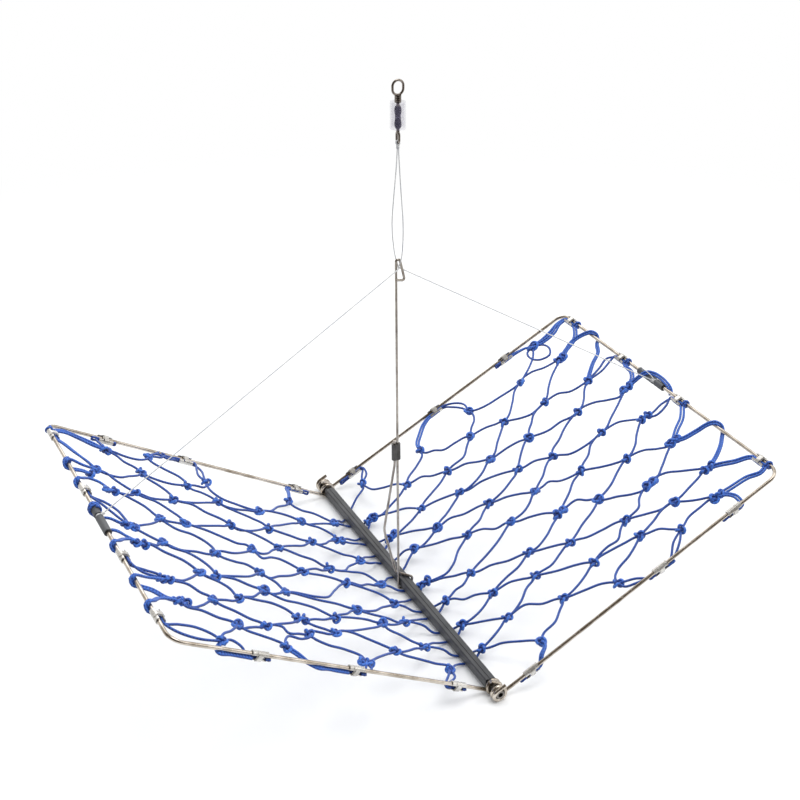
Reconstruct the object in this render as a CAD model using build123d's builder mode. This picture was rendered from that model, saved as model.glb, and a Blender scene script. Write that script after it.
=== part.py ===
from build123d import *
import os
from math import cos, radians, sin

os.makedirs("parts", exist_ok=True)

# Folding crab trap: two wire leaves with nets hinge on one spine, a wire stem stands on the
# spine, and two lines run from the leaves through the stem's eye up to a fishing swivel.
# Millimetres. The hinge runs along Y, the leaves open towards -X and +X, and Z = 0 is the
# surface that the trap stands on. Modelled part open, as it is set down to fish.

# ---- driving dimensions ---------------------------------------------------------------
FRAME_WIRE_D = 2.7          # leaf frame wire
STEM_WIRE_D = 1.8           # stem wire
LINE_D = 0.8                # pull lines and lift lines
NET_T = 2.0                 # thickness of the net sheet, one twine
STRAND_W = 2.2              # width of a net strand

ROD_D = 6.2                 # hinge rod
ROD_BORE_D = 3.6            # the rod is a tube
ROD_CLEARANCE = 0.08        # radial, rod in each frame coil
TUBE_SIDE = 7.4             # square spine tube
TUBE_CORNER_R = 0.9
TUBE_LENGTH = 274.0
TUBE_BORE_CLEARANCE = 0.05  # radial, rod in the spine tube
GROOVE_W = 1.4              # shallow groove along the top of the tube
GROOVE_DEPTH = 0.35
GROOVE_X = -1.0

LEAF_ANGLE = 28.1           # leaves above the horizontal
LEAF_REACH = 247.5          # hinge axis to the outer bar, along the leaf
LEAF_HALF_W = 144.8         # middle of the outer bar to a side arm
CORNER_R = 9.0              # bends beside the outer bar
ARM_STRAIGHT = 16.0         # straight start of an arm beside its coil
ARM_BEND_R = 60.0
COIL_TURNS = 1.5            # turns of a frame coil round the rod
COIL_PITCH = 3.2
COIL_GAP = 0.35             # tube end to coil, and coil to coil, along the rod
TAIL_LENGTH = 6.5           # cut end of the wire past each coil

CLIP_LENGTH = 11.5          # folded sheet clip round wire and twine
CLIP_SHEET = 0.7
CLIP_CLEARANCE = 0.1
NET_TO_WIRE = 0.4           # net edge to a side arm
NET_TO_SLEEVE = 0.3         # net edge to the outer bar's sleeves
NET_INNER_S = 6.5           # net edge beside the spine, from the hinge axis
NET_INNER_HALF_W = 133.0
NET_CHAMFER_S = 22.0
NET_KNOT_D = 7.4            # knots, as discs in the sheet
PAIR_W = 4.0                # two strands side by side, where the net is tied to a clip
NET_POCKET_DEPTH = 3.0      # the left net hangs this far behind the frame where the stem closes on it
NET_POCKET_S = [(8.0, 66.0), (22.0, 48.0)]      # the pocket's edge and its floor, from the hinge axis
NET_POCKET_Y = [(-16.0, 30.0), (-4.0, 18.0)]    # and along the hinge
# clip places: along each side arm from the hinge axis, and along the outer bar in Y
CLIPS = {
    "left": {"far": (31, 132, 200), "near": (27, 112, 185), "outer": (127, 42, -47, -118)},
    "right": {"far": (26, 111, 185), "near": (27, 140, 206), "outer": (130, 53, -25, -125)},
}

# The net, read off the photograph: knots as (s, y) from the hinge axis and along the hinge, and
# strands from knot to knot with the places where they bend.
NET_KNOTS = {
    "right": {
        "A0": (25, 126), "A1": (11.6, 83), "A2": (15, 51), "A3": (22.4, 23.4), "A4": (10.4, -13.6),
        "A5": (14, -42.4), "A6": (11.6, -72), "A7": (11, -102.4),
        "B0": (51, 89.6), "B1": (46.4, 56), "B2": (45.6, 26.4), "B3": (59, -0.6), "B4": (41.4, -35.6),
        "B5": (43, -66), "B6": (39, -94), "B7": (45.4, -131.6),
        "C0": (79, 115), "C1": (82.6, 73), "C2": (77.4, 44), "C3": (87.4, 13), "C4": (89.6, -18),
        "C5": (82.6, -55.6), "C6": (74, -78.4), "C7": (77, -112.4),
        "D0": (130.4, 117.6), "D1": (116, 90), "D2": (113, 52.4), "D3": (122, 23.4), "D4": (119.4, -8),
        "D5": (120.4, -42.6), "D6": (109, -73.6), "D7": (110.4, -103.6), "D8": (111.6, -133),
        "E0": (143, 79), "E1": (147.6, 45.6), "E2": (148.6, 11), "E3": (154.6, -21), "E4": (147, -56),
        "E5": (148.6, -90), "E6": (147.4, -110.4), "E7": (170.4, -129.6),
        "F0": (178, 106.4), "F1": (178, 68), "F2": (188.6, 34.4), "F3": (188, -1), "F4": (184.6, -40.6),
        "F5": (181.6, -76.4), "F6": (183, -105),
        "G0": (208, 134.4), "G1": (215, 99.4), "G2": (214, 56.6), "G3": (229, 22), "G4": (219, -17),
        "G5": (218, -56), "G6": (217.6, -99), "G7": (206, -126),
    },
    "left": {
        "A0": (17.6, 86), "A1": (29, 55), "A2": (22.4, 27), "A3": (17.5, -2), "A4": (24.4, -36),
        "A5": (29, -61), "A6": (30, -94), "A7": (22, -119),
        "B0": (50.4, 109), "B1": (54.4, 75), "B2": (61, 41), "B3": (59.4, 7.6), "B4": (58, -18),
        "B5": (68.4, -56.6), "B6": (53, -70), "B7": (62, -107),
        "C0": (92, 75), "C1": (96.4, 47), "C2": (100, 17), "C3": (93.6, -14), "C4": (125, -51.6),
        "C5": (96.4, -76), "C6": (106, -97), "C7": (98.4, -130),
        "D0": (126.4, 107.6), "D1": (129, 75), "D2": (132.6, 38.6), "D3": (128, 5), "D4": (136.4, -29.6),
        "D5": (144.4, -55), "D6": (129, -86), "D7": (131, -105), "D8": (159, -128),
        "E0": (168, 130), "E1": (149, 92), "E2": (171.6, 60), "E3": (175, 24.4), "E4": (166, -14.4),
        "E5": (178.4, -48), "E6": (171, -74), "E7": (164, -105),
        "F0": (206, 123), "F1": (185, 97), "F2": (203, 57.6), "F3": (195, 23), "F4": (206, -14),
        "F5": (191, -48), "F6": (194, -83), "F7": (187, -110), "F8": (207.6, -134),
        "G0": (226, 83), "G6": (233, 72), "G1": (224, 52), "G2": (225.6, 1), "G3": (226, -23),
        "G4": (223, -67), "G5": (221, -93),
    },
}
NET_STRANDS = {
    "right": [
        ("A0", "B0", (28, 112), (35, 105)), ("A1", "B0", (31, 82), (42, 84.4)), ("B0", "C0", (68, 102)),
        ("B0", "C1", (64, 87), (71, 80)), ("A1", "B1", (28, 74), (38, 68)),
        ("A2", "B1", (28, 50), (36, 52)), ("A2", "B2", (31, 40), (38, 34)),
        ("B1", "C1", (62, 63), (72, 67)), ("B1", "C2", (58, 53), (68, 48)),
        ("A3", "B2", (33, 21.6), (39, 23.6)), ("A3", "B3", (36, 14), (48, 7)),
        ("B2", "C2", (58, 33), (68, 38)), ("B2", "C3", (57, 26), (68, 20)), ("B3", "C3", (74, 4), (80, 9)),
        ("A4", "B3", (20, -18.4), (28, -19.6), (36, -17), (46, -8)), ("A4", "B4", (23, -21), (31, -27)),
        ("B3", "C4", (70, -6), (78, -14)), ("B4", "C4", (58, -31), (72, -27)),
        ("A5", "B4", (25, -39.6), (31, -40.6)), ("A5", "B5", (25, -53), (32, -56)),
        ("B4", "C5", (56, -42), (68, -50)), ("C4", "D4", (101, -18), (110, -14)),
        ("C4", "D5", (102, -27), (112, -34)), ("C3", "D3", (102, 13.6), (112, 17.6)),
        ("C3", "D4", (100, 7), (110, 0)), ("C2", "D2", (92, 42), (102, 46)),
        ("C2", "D3", (96, 38.4), (108, 33)), ("C1", "D1", (100, 75), (108, 83)),
        ("C1", "D2", (97, 66), (106, 59)), ("C0", "D1", (87, 103), (92, 97), (104, 95)),
        ("D0", "D1", (128, 104), (121, 97)), ("D0", "F0", (139, 110.6), (158, 107.6)),
        ("D1", "E0", (130, 87), (138, 83)), ("D2", "E0", (127, 63), (137, 73)),
        ("D2", "E1", (131, 51), (141, 48)), ("E0", "F0", (160, 92), (170, 103)),
        ("E0", "F1", (156, 69), (163, 66)), ("E1", "F1", (158, 58), (164, 64)),
        ("E1", "F2", (162, 38.4), (174, 37.6)), ("D3", "E1", (136, 38), (143, 44)),
        ("D3", "E2", (136, 19), (144, 14)), ("D4", "E2", (132, 0), (140, 7)),
        ("D4", "E3", (131, -9), (138, -16)), ("E2", "F2", (162, 22), (172, 29)),
        ("E2", "F3", (158, 2), (172, -2.4)), ("E3", "F3", (168, -12), (176, -4)),
        ("E3", "F4", (168, -31), (176, -37)), ("D5", "E3", (136, -32), (146, -24)),
        ("D5", "E4", (136, -43), (141, -50)), ("C5", "D5", (100, -53.6), (112, -47)),
        ("C5", "D6", (96, -64), (104, -70)), ("D6", "E4", (126, -66), (138, -62)),
        ("D6", "E5", (120, -79), (132, -83)), ("E4", "F4", (162, -52), (172, -46)),
        ("E4", "F5", (158, -66), (168, -74)), ("E5", "F5", (162, -88.6), (168, -81)),
        ("E5", "F6", (162, -97), (174, -103)), ("D7", "E5", (126, -100), (134, -100.6), (142, -94)),
        ("D7", "E6", (126, -104), (136, -107)), ("E6", "F6", (162, -107), (172, -104)),
        ("E6", "E7", (160, -116), (166, -124)), ("D8", "E6", (118, -123), (132, -119)),
        ("C6", "D6", (88, -79.6), (98, -76)), ("C6", "D7", (88, -88), (100, -94)),
        ("B5", "C5", (58, -62.4), (70, -61)), ("B5", "C6", (57, -68), (66, -73)),
        ("A6", "B5", (24, -73.6), (32, -71)), ("A6", "B6", (24, -82), (32, -88)),
        ("B6", "C6", (54, -90), (64, -83)), ("B6", "C7", (54, -95), (64, -104)),
        ("A7", "B6", (24, -100), (32, -97)), ("A7", "B7", (24, -110), (34, -119)),
        ("B7", "C7", (62, -125), (70, -119)), ("C7", "D7", (90, -111.6), (100, -108)),
        ("C7", "D8", (92, -119), (104, -124)), ("E7", "G7", (180, -125), (192, -124.4)),
        ("F6", "G6", (198, -103), (210, -100)), ("F6", "G7", (194, -117)),
        ("F5", "G5", (198, -69), (208, -62)), ("F5", "G6", (194, -76), (204, -86)),
        ("F4", "G4", (196, -36), (206, -25)), ("F4", "G5", (198, -45), (206, -53)),
        ("F3", "G3", (202, 5), (214, 13)), ("F3", "G4", (203, -3), (210, -10)),
        ("F2", "G2", (200, 42), (208, 52)), ("F2", "G3", (203, 32), (212, 24)),
        ("F1", "G2", (190, 67), (198, 60)), ("F1", "G1", (190, 80), (200, 90)),
        ("F0", "G1", (190, 108.4), (200, 103)), ("F0", "G0", (192, 115), (202, 124)),
    ],
    "left": [
        ("B0", "A0", (44, 97), (34, 95)), ("B0", "C0", (68, 92), (80, 81)),
        ("B1", "A0", (40, 76), (30, 81)), ("B1", "A1", (40, 69), (32, 65)),
        ("C0", "B1", (74, 79), (62, 78)), ("C1", "B1", (80, 59), (68, 65)),
        ("C1", "B2", (80, 44), (68, 40.4)), ("B2", "A1", (48, 42), (40, 49)),
        ("B2", "A2", (46, 35), (37, 31)), ("C2", "B2", (84, 26), (72, 31)), ("C2", "B3", (84, 12), (74, 9)),
        ("B3", "A2", (46, 8), (36, 18)), ("B3", "A3", (40, 9), (26, 9)), ("C3", "B3", (80, -6), (68, 0)),
        ("C3", "B4", (78, -14.4), (66, -16)), ("B4", "A3", (46, -17), (34, -10)),
        ("B4", "A4", (42, -21), (32, -26)), ("B5", "A4", (52, -54), (40, -45)),
        ("B5", "A5", (56, -61), (44, -62)), ("C4", "B4", (100, -50), (88, -46), (76, -34)),
        ("C4", "B5", (100, -53), (84, -55)), ("B6", "A5", (40, -68)), ("B6", "A6", (44, -83), (38, -89)),
        ("C5", "B5", (82, -67), (74, -60)), ("C5", "B6", (80, -71.6), (66, -70.4)),
        ("C6", "B6", (88, -89), (72, -82)), ("C6", "B7", (90, -92), (80, -96)),
        ("B7", "A6", (48, -103), (40, -99)), ("A7", "B7", (34, -115), (46, -113)),
        ("C7", "B7", (84, -121), (74, -115)), ("D7", "C7", (122, -115), (108, -117)),
        ("D7", "C6", (118, -99.6), (112, -100)), ("D6", "C6", (120, -92), (112, -94)),
        ("D6", "C5", (116, -83), (106, -80)), ("D5", "C5", (132, -63), (120, -64), (108, -67)),
        ("D5", "C4", (132, -56)), ("D4", "C4", (128, -40)), ("D4", "C3", (120, -29), (108, -24)),
        ("D3", "C3", (124, -5), (116, -3), (109, -1.6)), ("D3", "C2", (116, 4), (108, 11)),
        ("D2", "C2", (120, 33), (108, 27)), ("D2", "C1", (120, 34), (108, 40)),
        ("D1", "C1", (118, 66), (106, 58)), ("D1", "C0", (116, 68), (104, 71)),
        ("D0", "C0", (127, 90), (122, 83), (110, 79)), ("D0", "E1", (132, 96.4), (140, 95)),
        ("E1", "D1", (140, 84)), ("E1", "F1", (162, 88.4), (174, 90)), ("E0", "E1", (160, 114), (150, 104)),
        ("E0", "F0", (178, 120), (194, 120)), ("F0", "F1", (195, 108)),
        ("F1", "G0", (200, 83), (208, 78.4)), ("F1", "E2", (176, 80), (172, 70)),
        ("E2", "D1", (154, 63), (140, 68)), ("E2", "D2", (156, 60), (148, 52)),
        ("E2", "F2", (184, 56), (194, 53.6)), ("G0", "F2", (214, 72), (208, 63)), ("F2", "G1", (212, 50)),
        ("F2", "E3", (190, 49), (181, 40)), ("G1", "F3", (210, 46), (202, 38)), ("F3", "E3", (182, 21.6)),
        ("E3", "D2", (160, 27), (146, 31)), ("E3", "D3", (160, 20), (146, 12), (138, 9.6)),
        ("F3", "E4", (186, 11), (176, 8.4), (167, 2)), ("F3", "G2", (206, 12), (214, 6)),
        ("G2", "F4", (214, -10)), ("F4", "G3", (214, -21)), ("F4", "E4", (196, -19), (182, -18)),
        ("F4", "E5", (190, -23), (181, -32)), ("E4", "D3", (150, -9), (140, -4)),
        ("E4", "D4", (152, -21), (144, -22)), ("G3", "F5", (210, -28), (198, -37)),
        ("F5", "E5", (183, -54)), ("F5", "E6", (180, -57), (174, -64)),
        ("F5", "G4", (202, -59), (210, -64)), ("E5", "D4", (162, -43.6), (148, -39)),
        ("E5", "D5", (164, -48), (154, -53)), ("G4", "F6", (208, -69), (200, -76)),
        ("E6", "D5", (158, -68), (151, -62)), ("E6", "F6", (184, -80)),
        ("E6", "D6", (156, -71), (144, -72), (136, -78)), ("F6", "G5", (206, -93), (216, -97)),
        ("F6", "E7", (182, -93), (172, -99)), ("G5", "F7", (210, -101), (198, -105)),
        ("F7", "E7", (180, -112), (174, -109)), ("E7", "D6", (152, -100), (140, -95)),
        ("E7", "D7", (151, -103), (149, -109), (140, -108)), ("F7", "D8", (174, -119), (164, -122)),
        ("F7", "F8", (196, -120), (204, -126)), ("D7", "D8", (140, -113), (151, -114)),
    ],
}

# Doubled strands from a knot to a clip: the clip's wire, its place in CLIPS, and the bends.
NET_TIES = {
    "right": [
        ("A0", "far", 0, (27, 134)), ("C0", "far", 1, (83, 125), (98, 139)), ("D0", "far", 1, (126, 134)),
        ("G0", "far", 2, (202, 138), (196, 140)),
        ("B7", "near", 0, (43, -138)), ("D8", "near", 1, (118, -139)), ("E7", "near", 1, (164, -138)),
        ("G7", "near", 2, (211, -133)), ("G0", "outer", 0, (228, 134)),
        ("G1", "outer", 0, (228, 106), (238, 111)), ("G2", "outer", 1, (230, 58)),
        ("G3", "outer", 1, (235, 24), (240, 33)), ("G4", "outer", 2, (236, -19)),
        ("G5", "outer", 2, (229, -47), (239, -38)), ("G6", "outer", 3, (230, -109)),
        ("G7", "outer", 3, (230, -129)),
    ],
    "left": [
        ("B0", "far", 0, (43, 125)), ("D0", "far", 1, (122, 123)),
        ("E0", "far", 1, (158, 134), (146, 139)), ("F0", "far", 2, (204, 134)),
        ("A7", "near", 0, (25, -128)), ("C7", "near", 1, (101, -137)),
        ("D8", "near", 1, (146, -130), (130, -139)), ("F8", "near", 2, (199, -137)),
        ("F0", "outer", 0, (219, 132), (235, 135)), ("G0", "outer", 0, (229, 92), (240, 112)),
        ("G6", "outer", 1, (238, 58)), ("G2", "outer", 1, (228, 17), (236, 30)),
        ("G3", "outer", 2, (237, -26)), ("G4", "outer", 2, (236, -60)), ("G5", "outer", 3, (238, -99)),
        ("F8", "outer", 3, (230, -127)),
    ],
}
# Doubled strands that turn at the outer bar between two knots.
NET_TURNS = {
    "right": [
        ("G1", "G2", (236, 105), (242, 100), (242, 82), (229, 71)), ("G3", "G4", (242, 17), (242, -10)),
        ("G5", "G6", (236, -64), (242, -70), (242, -84), (233, -93)),
    ],
    "left": [
        ("G0", "G6", (241, 86), (241, 79)), ("G6", "G1", (231, 61)),
        ("G2", "G3", (238, 2), (242, -6), (240, -16)), ("G4", "G5", (237, -71), (242, -76), (237, -87)),
    ],
}
# Strands that go down under the tube: the knot, the bends and the place along the hinge.
NET_FEET = {
    "right": [
        ("A0", (24, 121), (14, 115), 110), ("A1", 86), ("A1", 77), ("A2", 57), ("A2", 46),
        ("A3", (16, 28), 29), ("A3", (14, 18), 14), ("A4", -10.5), ("A4", -16), ("A5", -38), ("A5", -46),
        ("A6", -68), ("A6", -76), ("A7", -98), ("A7", -104),
    ],
    "left": [
        ("A0", 96), ("A0", 90), ("A1", (20, 60), 67), ("A1", (20, 54), (10, 56), 61),
        ("A2", (17, 32), 41), ("A2", (16, 26), (8, 28), 32), ("A3", (11, 0.5), 1), ("A3", (11, -6), -8.5),
        ("A4", (18, -32), -23), ("A4", (17, -37), -38), ("A5", (22, -58), -48),
        ("A5", (22, -60), (12, -62), -66), ("A6", (20, -87), -79), ("A6", (21, -92), (12, -93), -95),
        ("A7", (18, -116), -106),
    ],
}

SLEEVE_D = 5.6              # grey sleeves on the outer bar, each side of the line
SLEEVE_LONG = 20.0
SLEEVE_SHORT = 10.0
SLEEVE_GAP = 2.6            # room for the line's loop
SLEEVE_CLEARANCE = 0.05

STEM_EYE_X = -2.0           # stem strand where it meets the eye
STEM_EYE_Y = 6.0
STEM_EYE_TOP = 261.0        # centreline of the eye's top bend, above the floor
STEM_EYE_LOW = 245.2        # centreline of the eye's lowest bend
STEM_EYE_TOP_W = 2.8        # top bend, between the centres of its two corners
STEM_EYE_W = 6.6            # stem strand to the eye's lower corner
STEM_CUT_END = 2.6          # bowed strand past the top of the ferrule
STEM_WRAP_GAP = 0.2         # stem wire to the tube's sides
FERRULE_Z = 110.0
FERRULE_LENGTH = 12.6
FERRULE_BARREL_D = 4.4
STRAND_PITCH = 2.3          # the stem's two strands, side by side in the ferrule

LINE_HALF_GAP = 1.5         # each line's plane to the middle of the stem's eye, along Y
EYE_LINE_Z = 255.0          # where the pull lines turn at the stem's eye
EYE_LINE_X = {"left": -0.6, "right": 0.4}
KNOT_D = 2.6
KNOT_LENGTH = 2.6
KNOT_EDGE_R = 0.7
LINE_GAP = 0.5              # between two lines, or a line and a knot, that move apart
LOOP_CLEARANCE = 0.1        # line's loop to the wire inside it

SWIVEL_X = -0.5
SWIVEL_TOP = 385.2          # top of the upper ring
RING_W = 9.2                # outer width of the upper ring
RING_H = 11.2
RING_WIRE_D = 1.6
RING_NECK_D = 4.4
RING_NECK_TURNS = 3
BARREL_D = 4.6
BARREL_WAIST_D = 3.6
BARREL_TOP = 367.4
BARREL_LENGTH = 14.6
SLEEVE_OUT_D = 10.4         # clear sleeve round the barrel
SLEEVE_WALL = 1.0
CLEAR_SLEEVE_TOP = 370.3
CLEAR_SLEEVE_LENGTH = 17.6
WEB_T = 1.2                 # thin web that holds the barrel's waist in the clear sleeve
WEB_CLEARANCE = 0.1
SHANK_D = 2.2               # shanks that turn in the barrel
SHANK_DEPTH = 4.0
SHANK_END_GAP = 0.3
BARREL_SHOULDER = 0.6       # barrel's end faces are this much smaller in radius
SHANK_CLEARANCE = 0.05
LOWER_EYE_W = 5.4
LOWER_EYE_H = 8.6
LOWER_EYE_TOP = 351.0

# ---- values worked out from them ------------------------------------------------------
FRAME_R = FRAME_WIRE_D / 2
STEM_R = STEM_WIRE_D / 2
COIL_R = ROD_D / 2 + ROD_CLEARANCE + FRAME_R
AXIS_Z = COIL_R + FRAME_R
TUBE_HALF = TUBE_LENGTH / 2
COIL_TRAVEL = COIL_TURNS * COIL_PITCH
INNER_COIL_Y = TUBE_HALF + COIL_GAP + FRAME_R
OUTER_COIL_Y = INNER_COIL_Y + COIL_TRAVEL + FRAME_WIRE_D + COIL_GAP
ROD_LENGTH = 2 * (OUTER_COIL_Y + COIL_TRAVEL)
ARM_Y = {"left": INNER_COIL_Y, "right": OUTER_COIL_Y}
SIDE = {"left": -1, "right": 1}
ARM_EDGE = FRAME_R + NET_TO_WIRE
OUTER_EDGE = SLEEVE_D / 2 + NET_TO_SLEEVE
LINE_Y = {"left": STEM_EYE_Y - LINE_HALF_GAP, "right": STEM_EYE_Y + LINE_HALF_GAP}
ANGLE = radians(LEAF_ANGLE)


def out_dir(side):
    """Unit vector from the hinge along a leaf."""
    return Vector(SIDE[side] * cos(ANGLE), 0, sin(ANGLE))


def under_dir(side):
    """Unit vector square to a leaf, away from the catch."""
    return Vector(SIDE[side] * sin(ANGLE), 0, -cos(ANGLE))


def leaf_point(side, s, y, under=COIL_R):
    """Point of a leaf: s along it from the hinge axis, y along the hinge."""
    return Vector(0, y, AXIS_Z) + out_dir(side) * s + under_dir(side) * under


def leaf_plane(side):
    """Plane of a leaf's frame and net, with local Y along the hinge."""
    x_dir = out_dir(side)
    return Plane(origin=leaf_point(side, 0, 0), x_dir=x_dir, z_dir=x_dir.cross(Vector(0, 1, 0)))


def arm_y(side, s):
    """Y of a side arm's centreline at s, on the far side."""
    start = ARM_Y[side]
    share = max(0.0, (s - ARM_STRAIGHT) / (LEAF_REACH - ARM_STRAIGHT))
    return start + share * (LEAF_HALF_W - start)


def strip(places, width):
    """Face of a flat strand of this width along a line of places."""
    line = [Vector(*place) for place in places]
    left, right = [], []
    for i, place in enumerate(line):
        into = (place - line[i - 1]).normalized() if i > 0 else (line[1] - place).normalized()
        out = (line[i + 1] - place).normalized() if i < len(line) - 1 else into
        along = (into + out).normalized()
        across = Vector(-along.Y, along.X) * (width / 2 / along.dot(into))
        left.append(place + across)
        right.append(place - across)
    return Polygon(*left, *reversed(right), align=None, mode=Mode.PRIVATE)


def clip_grip(side, wire, index):
    """Middle of the twine that a clip holds, as (s, y)."""
    t = CLIPS[side][wire][index]
    if wire == "outer":
        return LEAF_REACH - OUTER_EDGE - STRAND_W / 2, t
    y = arm_y(side, t) - ARM_EDGE - STRAND_W / 2
    return t, y if wire == "far" else -y


def net_strips(side):
    """All flat strands of one half of the net."""
    knots = NET_KNOTS[side]
    strips = []
    for first, last, *bends in NET_STRANDS[side]:
        strips.append(strip([knots[first], *bends, knots[last]], STRAND_W))
    for knot, *bends, foot in NET_FEET[side]:
        strips.append(strip([knots[knot], *bends, (NET_INNER_S, foot)], STRAND_W))
    for knot, wire, index, *bends in NET_TIES[side]:
        strips.append(strip([knots[knot], *bends, clip_grip(side, wire, index)], PAIR_W))
    for first, last, *bends in NET_TURNS[side]:
        strips.append(strip([knots[first], *bends, knots[last]], PAIR_W))
    return strips


def pocket_border(side, at, level):
    """Edge (0) or floor (1) of the pocket in the net, on a plane at this level."""
    low, high = NET_POCKET_S[at]
    near, far = NET_POCKET_Y[at]
    with BuildSketch(leaf_plane(side).offset(SIDE[side] * level)) as border:
        Polygon((low, near), (high, near), (high, far), (low, far), align=None)
    return border.sketch


def pocket_body(side, level):
    """Body between a plane at this level and the pocket below it."""
    borders = [pocket_border(side, 0, level), pocket_border(side, 1, level - NET_POCKET_DEPTH)]
    return loft(borders, ruled=True, mode=Mode.PRIVATE)


def save(part, name):
    part.label = name
    export_step(part, f"parts/{name}.step")


def coil_arcs(side, end):
    """Half turns of a coil from the arm outwards: (start, middle, end) of each arc."""
    arcs = []
    half_turns = int(2 * COIL_TURNS)
    for i in range(half_turns):
        y0 = end * (ARM_Y[side] + i * COIL_PITCH / 2)
        y1 = end * (ARM_Y[side] + (i + 1) * COIL_PITCH / 2)
        below, above = (COIL_R, -COIL_R) if i % 2 == 0 else (-COIL_R, COIL_R)
        start = leaf_point(side, 0, y0, below)
        stop = leaf_point(side, 0, y1, above)
        reach = (stop - start).length / 2 * (-1 if i % 2 == 0 else 1)
        middle = (start + stop) * 0.5 + out_dir(side) * reach
        arcs.append((start, middle, stop))
    return arcs


def least_gap(edges, wire_d, skip):
    """Least gap of a wound wire to itself, measured on points more than skip apart along it."""
    points = []
    run = 0.0
    for edge in edges:
        count = max(8, int(edge.length / 0.5))
        for i in range(count):
            points.append((run + edge.length * i / count, edge.position_at(i / count)))
        run += edge.length
    gaps = [(b - a).length for k, (la, a) in enumerate(points) for lb, b in points[k:] if lb - la > skip]
    return min(gaps) - wire_d


# ---- spine ------------------------------------------------------------------------------
with BuildPart() as spine_tube:
    with BuildSketch(Plane.XZ.offset(-TUBE_HALF)):
        with Locations((0, AXIS_Z)):
            RectangleRounded(TUBE_SIDE, TUBE_SIDE, TUBE_CORNER_R)
            Circle(ROD_D / 2 + TUBE_BORE_CLEARANCE, mode=Mode.SUBTRACT)
        with Locations((GROOVE_X, AXIS_Z + TUBE_SIDE / 2)):
            Rectangle(GROOVE_W, 2 * GROOVE_DEPTH, mode=Mode.SUBTRACT)
    extrude(amount=TUBE_LENGTH)
save(spine_tube.part, "spine_tube")

with BuildPart() as hinge_rod:
    with BuildSketch(Plane.XZ.offset(-ROD_LENGTH / 2)):
        with Locations((0, AXIS_Z)):
            Circle(ROD_D / 2)
            Circle(ROD_BORE_D / 2, mode=Mode.SUBTRACT)
    extrude(amount=ROD_LENGTH)
save(hinge_rod.part, "hinge_rod")

# ---- stem wire --------------------------------------------------------------------------
# One wire: from its cut end above the ferrule down the bowed strand, across the top of the
# tube, down its right side, under it, up its left side and straight up to the eye.
wrap_x = TUBE_SIDE / 2 + STEM_R + STEM_WRAP_GAP
wrap_top = AXIS_Z + TUBE_SIDE / 2 + STEM_R + STEM_WRAP_GAP
wrap_low = STEM_R
wrap_y = -3.5               # straight strand at the tube
cross_y = -7.0              # right end of the crossing
strand_foot = Vector(-wrap_x, wrap_y, wrap_low)
eye_corner = Vector(STEM_EYE_X, STEM_EYE_Y, STEM_EYE_TOP)


def strand_at(z):
    """Point of the stem's straight strand at height z."""
    share = (z - strand_foot.Z) / (eye_corner.Z - strand_foot.Z)
    return strand_foot + (eye_corner - strand_foot) * share


beside = Vector(-STRAND_PITCH, 0, 0)
stem_points = [
    strand_at(FERRULE_Z + FERRULE_LENGTH + STEM_CUT_END) + beside,
    strand_at(FERRULE_Z - 4.0) + beside,
    Vector(-8.0, 14.7, 42.5),
    Vector(-wrap_x + 1.2, 3.6, wrap_top),
    Vector(wrap_x, cross_y, wrap_top),
    Vector(wrap_x, cross_y + 1.0, wrap_low),
    strand_foot,
    eye_corner,
    eye_corner + Vector(STEM_EYE_TOP_W, 0, 0),
    Vector(STEM_EYE_X + STEM_EYE_W, STEM_EYE_Y, STEM_EYE_LOW),
    Vector(STEM_EYE_X - 0.9, STEM_EYE_Y - STEM_WIRE_D - 0.2, STEM_EYE_LOW + 2.2),
]
stem_radii = [20.0, 14.0, 1.6, 1.3, 1.5, 1.5, 1.0, 1.0, 1.4]
with BuildPart() as stem_wire:
    with BuildLine() as stem_path:
        FilletPolyline(*stem_points, radius=stem_radii)
    with BuildSketch(Plane(stem_points[0], z_dir=stem_points[1] - stem_points[0])):
        Circle(STEM_R)
    sweep()
save(stem_wire.part, "stem_wire")

# Crimped double-barrel ferrule round the two strands.
ferrule_low = strand_at(FERRULE_Z)
with BuildPart() as stem_ferrule:
    ferrule_high = strand_at(FERRULE_Z + FERRULE_LENGTH)
    with BuildSketch(Plane(ferrule_low, x_dir=(1, 0, 0), z_dir=ferrule_high - ferrule_low)):
        with Locations((0, 0), (-STRAND_PITCH, 0)):
            Circle(FERRULE_BARREL_D / 2)
        with Locations((0, 0), (-STRAND_PITCH, 0)):
            Circle(STEM_R + CLIP_CLEARANCE / 2, mode=Mode.SUBTRACT)
    extrude(amount=FERRULE_LENGTH)
save(stem_ferrule.part, "stem_ferrule")

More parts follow.
